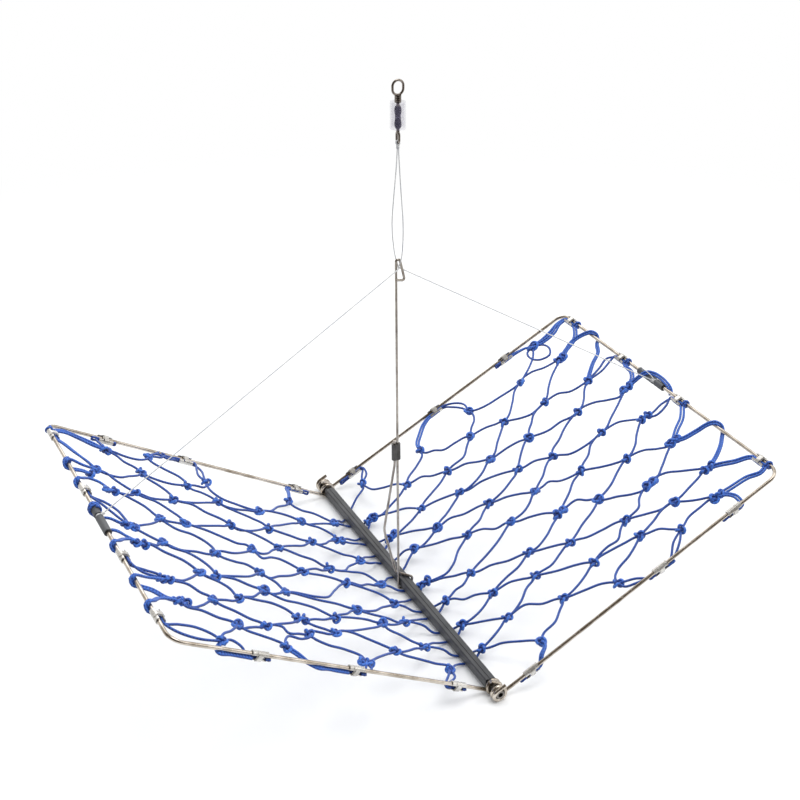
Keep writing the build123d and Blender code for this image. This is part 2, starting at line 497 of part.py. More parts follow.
# ---- leaves -----------------------------------------------------------------------------
loop_r = FRAME_R + LINE_D / 2 + LOOP_CLEARANCE
for side in ("left", "right"):
    # Frame: one wire with a coil round the rod at each end.
    with BuildPart() as frame_wire:
        with BuildLine() as frame_path:
            for end in (1, -1):
                coil = [ThreePointArc(*arc) for arc in coil_arcs(side, end)]
                last = leaf_point(side, 0, end * (ARM_Y[side] + COIL_TRAVEL), -COIL_R)
                Line(last, last + out_dir(side) * TAIL_LENGTH)
            FilletPolyline(
                leaf_point(side, 0, ARM_Y[side]),
                leaf_point(side, ARM_STRAIGHT, ARM_Y[side]),
                leaf_point(side, LEAF_REACH, LEAF_HALF_W),
                leaf_point(side, LEAF_REACH, -LEAF_HALF_W),
                leaf_point(side, ARM_STRAIGHT, -ARM_Y[side]),
                leaf_point(side, 0, -ARM_Y[side]),
                radius=[ARM_BEND_R, CORNER_R, CORNER_R, ARM_BEND_R],
            )
        print(side, "coil gap to itself", round(least_gap(coil, FRAME_WIRE_D, 5 * COIL_R), 2))
        tail_tip = leaf_point(side, TAIL_LENGTH, ARM_Y[side] + COIL_TRAVEL, -COIL_R)
        with BuildSketch(Plane(tail_tip, z_dir=-out_dir(side))):
            Circle(FRAME_R)
        sweep()
    save(frame_wire.part, f"{side}_frame_wire")

    # Net: one holed sheet of strands, knots and ties in the frame's plane.
    outline = [
        (NET_INNER_S, NET_INNER_HALF_W),
        (NET_CHAMFER_S, arm_y(side, NET_CHAMFER_S) - ARM_EDGE),
        (LEAF_REACH - CORNER_R, arm_y(side, LEAF_REACH - CORNER_R) - ARM_EDGE),
        (LEAF_REACH - OUTER_EDGE, LEAF_HALF_W - CORNER_R),
    ]
    outline += [(s, -y) for s, y in reversed(outline)]
    with BuildPart() as sheet:
        with BuildSketch(leaf_plane(side)):
            Polygon(*outline, align=None)
        extrude(amount=NET_T / 2, both=True)
        if side == "left":
            add(pocket_body(side, -NET_T / 2))
            add(pocket_body(side, NET_T / 2), mode=Mode.SUBTRACT)
    with BuildPart() as net:
        with BuildSketch(leaf_plane(side)):
            add(net_strips(side))
            with Locations(*NET_KNOTS[side].values()):
                Circle(NET_KNOT_D / 2)
        extrude(amount=NET_POCKET_DEPTH + NET_T, both=True)
        add(sheet.part, mode=Mode.INTERSECT)
    save(net.part, f"{side}_net")

    # Clips: sheet folded round the wire, with two flanges that hold the net's ties.
    grip_in = FRAME_R + CLIP_CLEARANCE
    arm_end = leaf_point(side, LEAF_REACH, LEAF_HALF_W)
    arm_slope = arm_end - leaf_point(side, ARM_STRAIGHT, ARM_Y[side])
    places = []
    for s in CLIPS[side]["far"]:
        places.append((leaf_point(side, s, arm_y(side, s)), arm_slope, Vector(0, -1, 0), ARM_EDGE))
    for s in CLIPS[side]["near"]:
        along = Vector(arm_slope.X, -arm_slope.Y, arm_slope.Z)
        places.append((leaf_point(side, s, -arm_y(side, s)), along, Vector(0, 1, 0), ARM_EDGE))
    for y in CLIPS[side]["outer"]:
        places.append((leaf_point(side, LEAF_REACH, y), Vector(0, 1, 0), -out_dir(side), OUTER_EDGE))
    with BuildPart() as net_clips:
        for place, along, inward, net_edge in places:
            flat = along.cross(inward).cross(along)
            reach = net_edge + STRAND_W
            fold = grip_in + CLIP_SHEET
            with BuildSketch(Plane(place, x_dir=flat, z_dir=along).offset(-CLIP_LENGTH / 2)):
                Circle(fold)
                with Locations((reach / 2, 0)):
                    Rectangle(reach, 2 * fold)
                Circle(grip_in, mode=Mode.SUBTRACT)
                with Locations((reach / 2, 0)):
                    Rectangle(reach, 2 * grip_in, mode=Mode.SUBTRACT)
            extrude(amount=CLIP_LENGTH)
    save(net_clips.part, f"{side}_net_clips")

    # Sleeves on the outer bar, one each side of the pull line.
    with BuildPart() as line_sleeves:
        for length, direction in ((SLEEVE_LONG, SIDE[side]), (SLEEVE_SHORT, -SIDE[side])):
            start = leaf_point(side, LEAF_REACH, LINE_Y[side] + direction * SLEEVE_GAP / 2)
            with BuildSketch(Plane(start, z_dir=(0, direction, 0))):
                Circle(SLEEVE_D / 2)
                Circle(FRAME_R + SLEEVE_CLEARANCE, mode=Mode.SUBTRACT)
            extrude(amount=length)
    save(line_sleeves.part, f"{side}_line_sleeves")

    # Pull line: straight from the stem's eye to the loop on the outer bar.
    bar = leaf_point(side, LEAF_REACH, LINE_Y[side])
    turn_point = Vector(EYE_LINE_X[side], LINE_Y[side], EYE_LINE_Z)
    towards_eye = (turn_point - bar).normalized()
    line_top = turn_point - towards_eye * LINE_GAP
    line_end = bar + towards_eye * (loop_r + KNOT_LENGTH + LINE_GAP)
    half_way = (line_top + line_end) * 0.5
    to_bar = (line_top - bar).length
    print(side, "pull line", round((line_top - line_end).length, 2), "to the bar", round(to_bar, 2))
    with BuildPart() as line_loop:
        with BuildSketch(Plane(bar + towards_eye * loop_r, z_dir=towards_eye)):
            Circle(KNOT_D / 2)
        extrude(amount=KNOT_LENGTH)
        fillet(line_loop.edges().filter_by(GeomType.CIRCLE), KNOT_EDGE_R)
        with BuildSketch(Plane(bar - towards_eye * loop_r, z_dir=towards_eye.cross(Vector(0, 1, 0)))):
            Circle(LINE_D / 2)
        revolve(axis=Axis(bar, (0, 1, 0)), revolution_arc=360)
    save(line_loop.part, f"{side}_line_loop")

    for name, start, stop in (("upper", line_top, half_way), ("lower", half_way, line_end)):
        with BuildPart() as pull_line:
            with BuildSketch(Plane(start, z_dir=stop - start)):
                Circle(LINE_D / 2)
            extrude(amount=(stop - start).length)
        save(pull_line.part, f"{side}_pull_line_{name}")

# ---- swivel -----------------------------------------------------------------------------
swivel_axis = Vector(SWIVEL_X, STEM_EYE_Y, 0)


def long_ring(middle_z, radius, stretch, across):
    """Draw an upright ring about the swivel's axis, drawn out by stretch up and down."""
    low = swivel_axis + Vector(0, 0, middle_z - stretch)
    high = swivel_axis + Vector(0, 0, middle_z + stretch)
    aside = across * radius
    tip = Vector(0, 0, radius)
    Line(low - aside, high - aside)
    ThreePointArc(high - aside, high + tip, high + aside)
    Line(high + aside, low + aside)
    ThreePointArc(low + aside, low - tip, low - aside)
    return low - aside


# Lower eye: a wire loop on a shank that turns in the barrel.
barrel_low = BARREL_TOP - BARREL_LENGTH
eye_r = (LOWER_EYE_W - RING_WIRE_D) / 2
shank_low = LOWER_EYE_TOP - RING_WIRE_D
with BuildPart() as swivel_lower_eye:
    with BuildLine():
        eye_stretch = (LOWER_EYE_H - LOWER_EYE_W) / 2
        seam = long_ring(LOWER_EYE_TOP - LOWER_EYE_H / 2, eye_r, eye_stretch, Vector(0, 1, 0))
    with BuildSketch(Plane(seam, z_dir=(0, 0, 1))):
        Circle(RING_WIRE_D / 2)
    sweep()
    with BuildSketch(Plane(swivel_axis).offset(shank_low)):
        Circle(SHANK_D / 2)
    extrude(amount=barrel_low + SHANK_DEPTH - shank_low)
save(swivel_lower_eye.part, "swivel_lower_eye")

# Barrel: two swellings about a waist, with a web that the clear sleeve is moulded to.
barrel_mid = barrel_low + BARREL_LENGTH / 2
barrel_r = BARREL_D / 2
shank_hole_r = SHANK_D / 2 + SHANK_CLEARANCE
with BuildPart() as swivel_barrel:
    with BuildSketch(Plane(swivel_axis, x_dir=(1, 0, 0), z_dir=(0, -1, 0))):
        with BuildLine():
            shoulder_r = barrel_r - BARREL_SHOULDER
            lower_seat = barrel_low + SHANK_DEPTH + SHANK_END_GAP
            upper_seat = BARREL_TOP - SHANK_DEPTH - SHANK_END_GAP
            Spline(
                (shoulder_r, barrel_low),
                (barrel_r, barrel_low + BARREL_LENGTH / 4),
                (BARREL_WAIST_D / 2, barrel_mid),
                (barrel_r, barrel_mid + BARREL_LENGTH / 4),
                (shoulder_r, BARREL_TOP),
            )
            Polyline(
                (shoulder_r, BARREL_TOP),
                (shank_hole_r, BARREL_TOP),
                (shank_hole_r, upper_seat),
                (0, upper_seat),
                (0, lower_seat),
                (shank_hole_r, lower_seat),
                (shank_hole_r, barrel_low),
                (shoulder_r, barrel_low),
            )
        make_face()
    revolve(axis=Axis(swivel_axis, (0, 0, 1)))
save(swivel_barrel.part, "swivel_barrel")

# Clear sleeve with its web round the barrel's waist.
with BuildPart() as swivel_sleeve:
    with BuildSketch(Plane(swivel_axis).offset(CLEAR_SLEEVE_TOP - CLEAR_SLEEVE_LENGTH)):
        Circle(SLEEVE_OUT_D / 2)
        Circle(SLEEVE_OUT_D / 2 - SLEEVE_WALL, mode=Mode.SUBTRACT)
    extrude(amount=CLEAR_SLEEVE_LENGTH)
    with BuildSketch(Plane(swivel_axis).offset(barrel_mid - WEB_T / 2)):
        Circle(SLEEVE_OUT_D / 2 - SLEEVE_WALL / 2)
        Circle(BARREL_WAIST_D / 2 + WEB_CLEARANCE, mode=Mode.SUBTRACT)
    extrude(amount=WEB_T)
save(swivel_sleeve.part, "swivel_sleeve")

# Upper ring on a neck that is wrapped with its own wire.
ring_r = (RING_W - RING_WIRE_D) / 2
neck_top = SWIVEL_TOP - RING_H + RING_WIRE_D / 2
with BuildPart() as swivel_ring:
    with BuildLine():
        seam = long_ring(SWIVEL_TOP - RING_H / 2, ring_r, (RING_H - RING_W) / 2, Vector(1, 0, 0))
    with BuildSketch(Plane(seam, z_dir=(0, 0, 1))):
        Circle(RING_WIRE_D / 2)
    sweep()
    with BuildSketch(Plane(swivel_axis).offset(neck_top)):
        Circle(SHANK_D / 2)
    extrude(amount=BARREL_TOP - SHANK_DEPTH - neck_top)
    with BuildSketch(Plane(swivel_axis).offset(neck_top)):
        Circle(RING_NECK_D / 2)
    extrude(amount=-RING_NECK_TURNS * RING_WIRE_D)
save(swivel_ring.part, "swivel_ring")

# Lift lines: from each pull line through the stem's eye, then up to the knot at the swivel.
# Each crosses from its side of the eye to the other, and the two bow apart a little.
lower_wire_z = LOWER_EYE_TOP - LOWER_EYE_H + RING_WIRE_D / 2
lift_loop_r = RING_WIRE_D / 2 + LINE_D / 2 + LOOP_CLEARANCE
knot_top = lower_wire_z - lift_loop_r
knot_low = knot_top - KNOT_LENGTH
LIFT_POINTS = {
    "left": [(-0.6, 7.45, 258.6), (-2.6, 7.6, 266), (-4.8, 7, 286), (-3.4, 6.4, 306), (-1.3, 6, 330)],
    "right": [(0.4, 4.55, 258.4), (2.2, 4.5, 266.0), (3.2, 5.2, 286.0), (1.8, 5.8, 306.0), (0.4, 6.0, 330.0)],
}
LIFT_RADII = {"left": [1.6, 24.0, 110.0, 260.0, 60.0], "right": [1.6, 30.0, 120.0, 260.0, 60.0]}
for side in ("left", "right"):
    top = (SWIVEL_X + (0.45 if side == "right" else -0.45), STEM_EYE_Y, knot_low)
    turn_point = (EYE_LINE_X[side], LINE_Y[side], EYE_LINE_Z)
    points = [Vector(*point) for point in (turn_point, *LIFT_POINTS[side], top)]
    with BuildPart() as lift_line:
        with BuildLine() as lift_path:
            FilletPolyline(*points, radius=LIFT_RADII[side])
        with BuildSketch(Plane(points[0], z_dir=points[1] - points[0])):
            Circle(LINE_D / 2)
        sweep()
    lift_length = sum(edge.length for edge in lift_path.edges())
    print(side, "lift line length", round(lift_length, 2), "radii", LIFT_RADII[side])
    save(lift_line.part, f"{side}_lift_line")

# Knot and loop of the lift lines round the lower eye's wire. The lines end in the knot.
with BuildPart() as lift_line_knot:
    with BuildSketch(Plane(swivel_axis).offset(knot_low)):
        Circle(KNOT_D / 2)
    extrude(amount=KNOT_LENGTH)
    fillet(lift_line_knot.edges().filter_by(GeomType.CIRCLE), KNOT_EDGE_R)
    with BuildSketch(Plane(swivel_axis + Vector(0, 0, lower_wire_z + lift_loop_r), z_dir=(1, 0, 0))):
        Circle(LINE_D / 2)
    revolve(axis=Axis(swivel_axis + Vector(0, 0, lower_wire_z), (0, 1, 0)), revolution_arc=360)
save(lift_line_knot.part, "lift_line_knot")
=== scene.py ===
import math
import random

import bpy
import numpy as np
from mathutils import Matrix, Vector


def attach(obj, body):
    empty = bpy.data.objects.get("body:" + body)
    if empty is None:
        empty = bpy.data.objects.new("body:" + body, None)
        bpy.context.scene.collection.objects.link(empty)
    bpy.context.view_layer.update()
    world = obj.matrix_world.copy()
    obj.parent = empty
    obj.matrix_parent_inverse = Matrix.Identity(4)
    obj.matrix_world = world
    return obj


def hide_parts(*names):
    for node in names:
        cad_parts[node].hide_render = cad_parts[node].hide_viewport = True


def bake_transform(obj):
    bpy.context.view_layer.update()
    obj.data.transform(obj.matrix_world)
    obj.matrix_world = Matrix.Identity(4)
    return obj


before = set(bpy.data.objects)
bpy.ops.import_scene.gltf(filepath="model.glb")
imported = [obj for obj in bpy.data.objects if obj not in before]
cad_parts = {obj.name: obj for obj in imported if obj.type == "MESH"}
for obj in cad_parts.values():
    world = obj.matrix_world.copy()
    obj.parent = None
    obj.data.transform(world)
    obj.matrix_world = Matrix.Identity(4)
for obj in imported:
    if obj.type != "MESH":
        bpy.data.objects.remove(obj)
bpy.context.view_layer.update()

# Folding crab trap. Leaf coordinates are in millimetres: s along a leaf from the hinge axis, y along
# the hinge, h square to the leaf towards the catch. Everything in the scene is in metres.

MM = 0.001
LEAF_ANGLE = math.radians(28.1)
WIRE_UNDER_AXIS = 4.53  # frame's plane below the hinge axis, square to the leaf
HINGE_Z = 5.88
LEAF_REACH = 247.5  # hinge axis to the outer bar's middle
ARM_START = 16.0  # s up to which a side arm is at ARM_Y
ARM_Y = {"left": 138.7, "right": 146.48}
HALF_WIDTH = 144.8  # a side arm's y at the outer bar
SIDES = ("left", "right")
SIDE = {"left": -1, "right": 1}
WIRE_R = 1.35
TWINE_R = 0.9
WIRE_TO_TWINE = WIRE_R + TWINE_R
POCKET_DEPTH = 3.0  # of the left net's pocket, which the stem closes into
POCKET_ALONG = (5, 16, 63, 77)  # s at which it starts, is full, is still full and ends
POCKET_ACROSS = (-16, -4, 18, 30)  # the same for y
RNG = random.Random(7)


# ---- places ----------------
def leaf(side, s, y, h=0.0):
    """Point of a leaf in metres, from leaf coordinates in millimetres."""
    out = (math.cos(LEAF_ANGLE), math.sin(LEAF_ANGLE))
    down = WIRE_UNDER_AXIS - h
    x = out[0] * s + out[1] * down
    z = HINGE_Z + out[1] * s - out[0] * down
    return np.array([SIDE[side] * x, y, z]) * MM


def arm_y(side, s):
    """Y of a side arm's centreline at s, far side."""
    share = max(0.0, (s - ARM_START) / (LEAF_REACH - ARM_START))
    return ARM_Y[side] + share * (HALF_WIDTH - ARM_Y[side])


def ease(x):
    x = min(1.0, max(0.0, x))
    return x * x * (3 - 2 * x)


def plateau(x, start, full, last, end):
    """1 from full to last, 0 before start and after end, and smooth between."""
    return min(ease((x - start) / (full - start)), ease((end - x) / (end - last)))


def pocket(side, s, y):
    """Height of the net over the frame's plane: 0, but for the left net's pocket."""
    if side == "right":
        return 0.0
    return -POCKET_DEPTH * min(plateau(s, *POCKET_ALONG), plateau(y, *POCKET_ACROSS))


# ---- curves and tubes ----------------
CROSS_HINT = (0.31, 0.17, 0.93)  # a direction that no line starts in
UPPER_PAINTED_LIGHT = 0.22  # painted light: how much lighter a tube's upper side is painted
KNOT_PAINTED_LIGHT = 0.9  # painted light: how much lighter a knot's outside is painted than its middle
KNOT_PAINTED_SHADE = 0.36  # painted shade: how much darker a knot's middle is painted than the tube's base shade


def neighbours(line, closed):
    """Points before and after each point of a line. An open line goes on straight past its ends."""
    if closed:
        return np.roll(line, 1, axis=0), np.roll(line, -1, axis=0)
    before = np.vstack([2 * line[0] - line[1], line[:-1]])
    after = np.vstack([line[1:], 2 * line[-1] - line[-2]])
    return before, after


def smooth_line(points, step, closed=False):
    """Smooth line through points, with a point about every step."""
    p = np.array(points, float)
    count = len(p)
    before, after = neighbours(p, closed)
    gap_in = np.linalg.norm(p - before, axis=1)[:, None]
    gap_out = np.linalg.norm(after - p, axis=1)[:, None]
    tangent = ((p - before) / gap_in * gap_out + (after - p) / gap_out * gap_in) / (gap_in + gap_out)
    line = []
    for i in range(count if closed else count - 1):
        j = (i + 1) % count
        a, b = p[i], p[j]
        length = np.linalg.norm(b - a)
        ta, tb = tangent[i] * length, tangent[j] * length
        parts = max(2, round(length / step))
        t = np.arange(parts)[:, None] / parts
        line.append((2 * t**3 - 3 * t**2 + 1) * a + (t**3 - 2 * t**2 + t) * ta
                    + (3 * t**2 - 2 * t**3) * b + (t**3 - t**2) * tb)
    if not closed:
        line.append(p[-1:])
    return np.vstack(line)


def axes_along(line, closed=False):
    """Tangent and two cross axes at each point of a line, without twist."""
    before, after = neighbours(line, closed)
    tangent = after - before
    tangent /= np.linalg.norm(tangent, axis=1)[:, None]
    start = np.cross(tangent[0], CROSS_HINT)
    first = [start / np.linalg.norm(start)]
    for t in tangent[1:]:
        v = first[-1] - t * (first[-1] @ t)
        first.append(v / np.linalg.norm(v))
    first = np.array(first)
    second = np.cross(tangent, first)
    if closed:
        drift = math.atan2(first[-1] @ second[0], first[-1] @ first[0])
        turn = -drift * np.arange(len(line)) / len(line)
        first = first * np.cos(turn)[:, None] + second * np.sin(turn)[:, None]
        second = np.cross(tangent, first)
    return tangent, first, second


def add_object(name, data):
    obj = bpy.data.objects.new(name, data)
    bpy.context.scene.collection.objects.link(obj)
    return obj


def new_mesh(name, verts, faces, material):
    mesh = bpy.data.meshes.new(name)
    mesh.from_pydata(verts, [], faces)
    mesh.materials.append(material)
    return mesh


class Tubes:
    """Tubes gathered into one mesh, with a shade value at each vertex that holds painted light and shade. U
    goes round a tube and V along it.
    """

    def __init__(self):
        self.verts, self.faces, self.uvs, self.shades, self.count = [], [], [], [], 0

    def add(self, line, radius, sides, closed=False, shade=0.5, center=None):
        """Tube along a line. Its upper side is painted lighter, and a knot is painted darker towards its
        center, as painted light and shade.
        """
        _, first, second = axes_along(line, closed)
        n = len(line)
        steps = np.linalg.norm(np.diff(line, axis=0), axis=1)
        run = np.concatenate([[0], np.cumsum(steps)])
        turn = (2 * math.pi * np.arange(sides) / sides)[None, :, None]
        out = np.cos(turn) * first[:, None, :] + np.sin(turn) * second[:, None, :]
        ring = line[:, None, :] + radius * out
        self.verts.append(ring.reshape(-1, 3))
        # painted light on each tube's upper side
        own = shade + UPPER_PAINTED_LIGHT * out[:, :, 2]
        # painted shade that darkens a knot towards its middle and lightens its outside
        if center is not None:
            depth = np.linalg.norm(ring - center, axis=2)
            own = own + KNOT_PAINTED_LIGHT * (depth / depth.max()) ** 2 - KNOT_PAINTED_SHADE
        self.shades.append(np.clip(own, 0, 1).ravel())
        base = self.count
        for i in range(n if closed else n - 1):
            here, there = base + i * sides, base + (i + 1) % n * sides
            v0 = run[i]
            v1 = run[i] + steps[i] if i < n - 1 else run[i] + np.linalg.norm(line[0] - line[-1])
            for k in range(sides):
                m = (k + 1) % sides
                self.faces.append((here + k, here + m, there + m, there + k))
                u0, u1 = k / sides, (k + 1) / sides
                self.uvs.extend(((u0, v0), (u1, v0), (u1, v1), (u0, v1)))
        self.count += n * sides
        if not closed:
            for i, order in ((0, range(sides - 1, -1, -1)), (n - 1, range(sides))):
                self.faces.append(tuple(base + i * sides + k for k in order))
                self.uvs.extend([(0.5, run[i])] * sides)

    def object(self, name, material):
        mesh = new_mesh(name, np.vstack(self.verts).tolist(), self.faces, material)
        layer = mesh.uv_layers.new(name="along")
        layer.data.foreach_set("uv", np.array(self.uvs, float).ravel())
        # the shade attribute holds the base shade with the painted light and shade
        shade = mesh.attributes.new("shade", "FLOAT", "POINT")
        shade.data.foreach_set("value", np.concatenate(self.shades))
        mesh.polygons.foreach_set("use_smooth", [True] * len(mesh.polygons))
        return add_object(name, mesh)


def nurbs_line(points):
    """Points along the NURBS spline that has these control points, all in metres."""
    data = bpy.data.curves.new("route", "CURVE")
    data.dimensions = "3D"
    data.resolution_u = 12
    spline = data.splines.new("NURBS")
    spline.points.add(len(points) - 1)
    for point, place in zip(spline.points, points):
        point.co = (*place, 1.0)
    spline.order_u = min(3, len(points))
    spline.use_endpoint_u = True
    obj = add_object("route", data)
    bpy.context.view_layer.update()
    mesh = bpy.data.meshes.new_from_object(obj)
    line = np.array([v.co for v in mesh.vertices], float)
    bpy.data.objects.remove(obj)
    bpy.data.meshes.remove(mesh)
    bpy.data.curves.remove(data)
    return line


# ---- shader nodes ----------------
def feed(tree, socket, value):
    """Link a socket to the one that feeds it, or set its constant."""
    if isinstance(value, bpy.types.NodeSocket):
        tree.links.new(value, socket)
    else:
        socket.default_value = value


def add_node(tree, kind, inputs=(), **settings):
    """Node of a tree, with its settings and with its inputs by name or number."""
    made = tree.nodes.new(kind)
    for name, value in settings.items():
        setattr(made, name, value)
    for key, value in dict(inputs).items():
        feed(tree, made.inputs[key], value)
    return made


def place_in(tree, space):
    return add_node(tree, "ShaderNodeTexCoord").outputs[space]


def axis_of(tree, vector, axis):
    return add_node(tree, "ShaderNodeSeparateXYZ", {"Vector": vector}).outputs[axis]


def noise(tree, scale, detail, stretch=(1, 1, 1)):
    mapping = add_node(tree, "ShaderNodeMapping", {"Vector": place_in(tree, "Object"), "Scale": stretch})
    inputs = {"Vector": mapping.outputs["Vector"], "Scale": scale, "Detail": detail}
    return add_node(tree, "ShaderNodeTexNoise", inputs).outputs["Fac"]


def ramp(tree, source, stops):
    made = add_node(tree, "ShaderNodeValToRGB", {"Fac": source})
    while len(made.color_ramp.elements) < len(stops):
        made.color_ramp.elements.new(0.5)
    for element, (place, color) in zip(made.color_ramp.elements, stops):
        element.position = place
        element.color = (*color, 1)
    return made.outputs["Color"]


def value_map(tree, source, low, high):
    inputs = {"Value": source, "To Min": low, "To Max": high}
    return add_node(tree, "ShaderNodeMapRange", inputs).outputs["Result"]


def math_node(tree, operation, *values):
    return add_node(tree, "ShaderNodeMath", enumerate(values), operation=operation).outputs["Value"]


def mix_colors(tree, factor, first, second, blend="MIX"):
    inputs = {"Factor": factor, "A": first, "B": second}
    made = add_node(tree, "ShaderNodeMix", inputs, data_type="RGBA", blend_type=blend)
    return made.outputs["Result"]


def bump(tree, bsdf, height, strength, distance):
    inputs = {"Height": height, "Strength": strength, "Distance": distance}
    feed(tree, bsdf.inputs["Normal"], add_node(tree, "ShaderNodeBump", inputs).outputs["Normal"])


def shader(name, color, roughness, metallic=0.0):
    mat = bpy.data.materials.new(name)
    mat.use_nodes = True
    tree = mat.node_tree
    bsdf = tree.nodes["Principled BSDF"]
    bsdf.inputs["Base Color"].default_value = (*color, 1)
    bsdf.inputs["Roughness"].default_value = roughness
    bsdf.inputs["Metallic"].default_value = metallic
    return mat, tree, bsdf


# ---- materials ----------------
def weather(tree, bsdf, patches, tints, fine, roughness, relief):
    """Give a surface patches of tint, and uneven gloss and relief by a finer noise."""
    feed(tree, bsdf.inputs["Base Color"], ramp(tree, patches, tints))
    feed(tree, bsdf.inputs["Roughness"], value_map(tree, fine, *roughness))
    bump(tree, bsdf, fine, *relief)


def metal(name, dark, bright, rough_low, rough_high, grain=900.0, stretch=(1, 0.06, 1), metallic=1.0):
    """Drawn or rolled metal: fine grain, patches of tarnish and uneven gloss."""
    mat, tree, bsdf = shader(name, bright, rough_low, metallic)
    weather(tree, bsdf, noise(tree, 90.0, 4.0), ((0.30, dark), (0.62, bright)),
            noise(tree, grain, 5.0, stretch), (rough_low, rough_high), (0.25, 0.00006))
    return mat


def plastic(name, dark, light, roughness, grain=600.0):
    """Moulded plastic: soft patches and a faint grain."""
    mat, tree, bsdf = shader(name, light, roughness)
    weather(tree, bsdf, noise(tree, 60.0, 5.0), ((0.30, dark), (0.70, light)),
            noise(tree, grain, 6.0, (1, 0.15, 1)), (roughness - 0.08, roughness + 0.12), (0.3, 0.00008))
    return mat


def clear_plastic(name):
    """Thin clear plastic with a faint lavender tint."""
    mat, tree, bsdf = shader(name, (0.42, 0.39, 0.54), 0.12)
    bsdf.inputs["Alpha"].default_value = 0.14
    fine = noise(tree, 220.0, 4.0, (1, 1, 0.25))
    tints = ((0.3, (0.34, 0.31, 0.46)), (0.7, (0.50, 0.47, 0.62)))
    weather(tree, bsdf, fine, tints, fine, (0.06, 0.22), (0.15, 0.0002))
    return mat


def wound_metal(name, dark, bright, low, high, pitch):
    """Metal whose turns of wire show as dark grooves of painted shade between two heights."""
    mat = metal(name, dark, bright, 0.16, 0.34, stretch=(1, 1, 1))
    tree = mat.node_tree
    color = tree.nodes["Principled BSDF"].inputs["Base Color"]
    height = axis_of(tree, place_in(tree, "Object"), "Z")
    # painted shade: the grooves between turns are darkened in colour only
    inside = math_node(tree, "COMPARE", height, (low + high) / 2, (high - low) / 2)
    wave = math_node(tree, "SINE", math_node(tree, "MULTIPLY", height, math.pi / pitch))
    groove = math_node(tree, "SUBTRACT", 1.0, math_node(tree, "ABSOLUTE", wave))
    depth = math_node(tree, "MULTIPLY", inside, groove)
    shade = ramp(tree, depth, ((0.1, (1, 1, 1)), (0.8, (0.06, 0.05, 0.05))))
    feed(tree, color, mix_colors(tree, 1.0, color.links[0].from_socket, shade, "MULTIPLY"))
    return mat


# What makes up the tone of a braid: its yarns, its fuzz and the tube's shade attribute, which holds painted
# light and shade.
YARN_SHARE = 0.45
FUZZ_SHARE = 0.06
SHADE_SHARE = 0.60
BRAID_STOPS = (0.44, 0.71, 0.98)  # tones that are dark, middling and light
SOILED = ((0.3, (0.78, 0.80, 0.86)), (0.7, (1.0, 1.0, 1.0)))


def braided(name, dark, mid, light, around, pitch):
    """Braided cord, drawn on the tube's UVs and on its shade attribute of painted light and shade: two sets
    of yarns that cross, with dark gaps.
    """
    mat, tree, bsdf = shader(name, mid, 0.55)
    place = place_in(tree, "UV")
    u = math_node(tree, "MULTIPLY", axis_of(tree, place, "X"), 2 * math.pi * around)
    v = math_node(tree, "MULTIPLY", axis_of(tree, place, "Y"), 2 * math.pi / pitch)
    waves = [math_node(tree, "SINE", math_node(tree, way, u, v)) for way in ("ADD", "SUBTRACT")]
    yarns = math_node(tree, "MAXIMUM", *[math_node(tree, "ABSOLUTE", wave) for wave in waves])
    fuzz = math_node(tree, "MULTIPLY", noise(tree, 2600.0, 3.0), FUZZ_SHARE)
    weave = math_node(tree, "ADD", math_node(tree, "MULTIPLY", yarns, YARN_SHARE), fuzz)
    # the tube's base shade with painted light and shade
    own = add_node(tree, "ShaderNodeAttribute", attribute_name="shade").outputs["Fac"]
    tone = math_node(tree, "ADD", weave, math_node(tree, "MULTIPLY", own, SHADE_SHARE))
    tint = ramp(tree, tone, tuple(zip(BRAID_STOPS, (dark, mid, light))))
    soil = ramp(tree, noise(tree, 140.0, 2.0), SOILED)
    feed(tree, bsdf.inputs["Base Color"], mix_colors(tree, 1.0, tint, soil, "MULTIPLY"))
    bump(tree, bsdf, weave, 0.6, 0.0003)
    bsdf.inputs["Sheen Weight"].default_value = 0.2
    return mat


# A name, tints from dark to light, and the lowest and highest roughness or a braid's yarns and pitch.
TWINE = braided("net_twine", (0.002, 0.010, 0.062), (0.010, 0.056, 0.34), (0.055, 0.21, 0.76), 1, 0.0044)
LINE = braided("line", (0.72, 0.71, 0.68), (0.90, 0.89, 0.86), (0.96, 0.95, 0.92), 2, 0.0011)
WIRE = metal("frame_wire", (0.34, 0.29, 0.23), (0.66, 0.60, 0.53), 0.16, 0.34)
STEM = metal("stem_wire", (0.22, 0.19, 0.165), (0.48, 0.44, 0.39), 0.18, 0.38, stretch=(1, 1, 0.06))
FERRULE = metal("ferrule", (0.040, 0.038, 0.036), (0.13, 0.125, 0.12), 0.32, 0.52, stretch=(1, 1, 0.2))
CLIP = metal("clip_sheet", (0.44, 0.42, 0.39), (0.76, 0.74, 0.70), 0.18, 0.36, 500.0, (1, 1, 1), 0.68)
ROD = metal("hinge_rod", (0.10, 0.09, 0.08), (0.30, 0.28, 0.26), 0.30, 0.55)
SWIVEL_EYE = metal("swivel_eye", (0.07, 0.060, 0.054), (0.25, 0.22, 0.195), 0.16, 0.34, stretch=(1, 1, 1))
# its turns show as painted shade in grooves
SWIVEL_RING = wound_metal("swivel_ring", (0.11, 0.093, 0.083), (0.36, 0.32, 0.285), 0.3680, 0.3750, 0.0013)
BARREL = metal("swivel_barrel", (0.008, 0.007, 0.010), (0.030, 0.027, 0.036), 0.22, 0.40, stretch=(1, 1, 1))
TUBE = plastic("spine_tube", (0.026, 0.027, 0.031), (0.056, 0.058, 0.064), 0.42)
SLEEVE = plastic("line_sleeve", (0.060, 0.064, 0.070), (0.125, 0.130, 0.138), 0.48, 400.0)
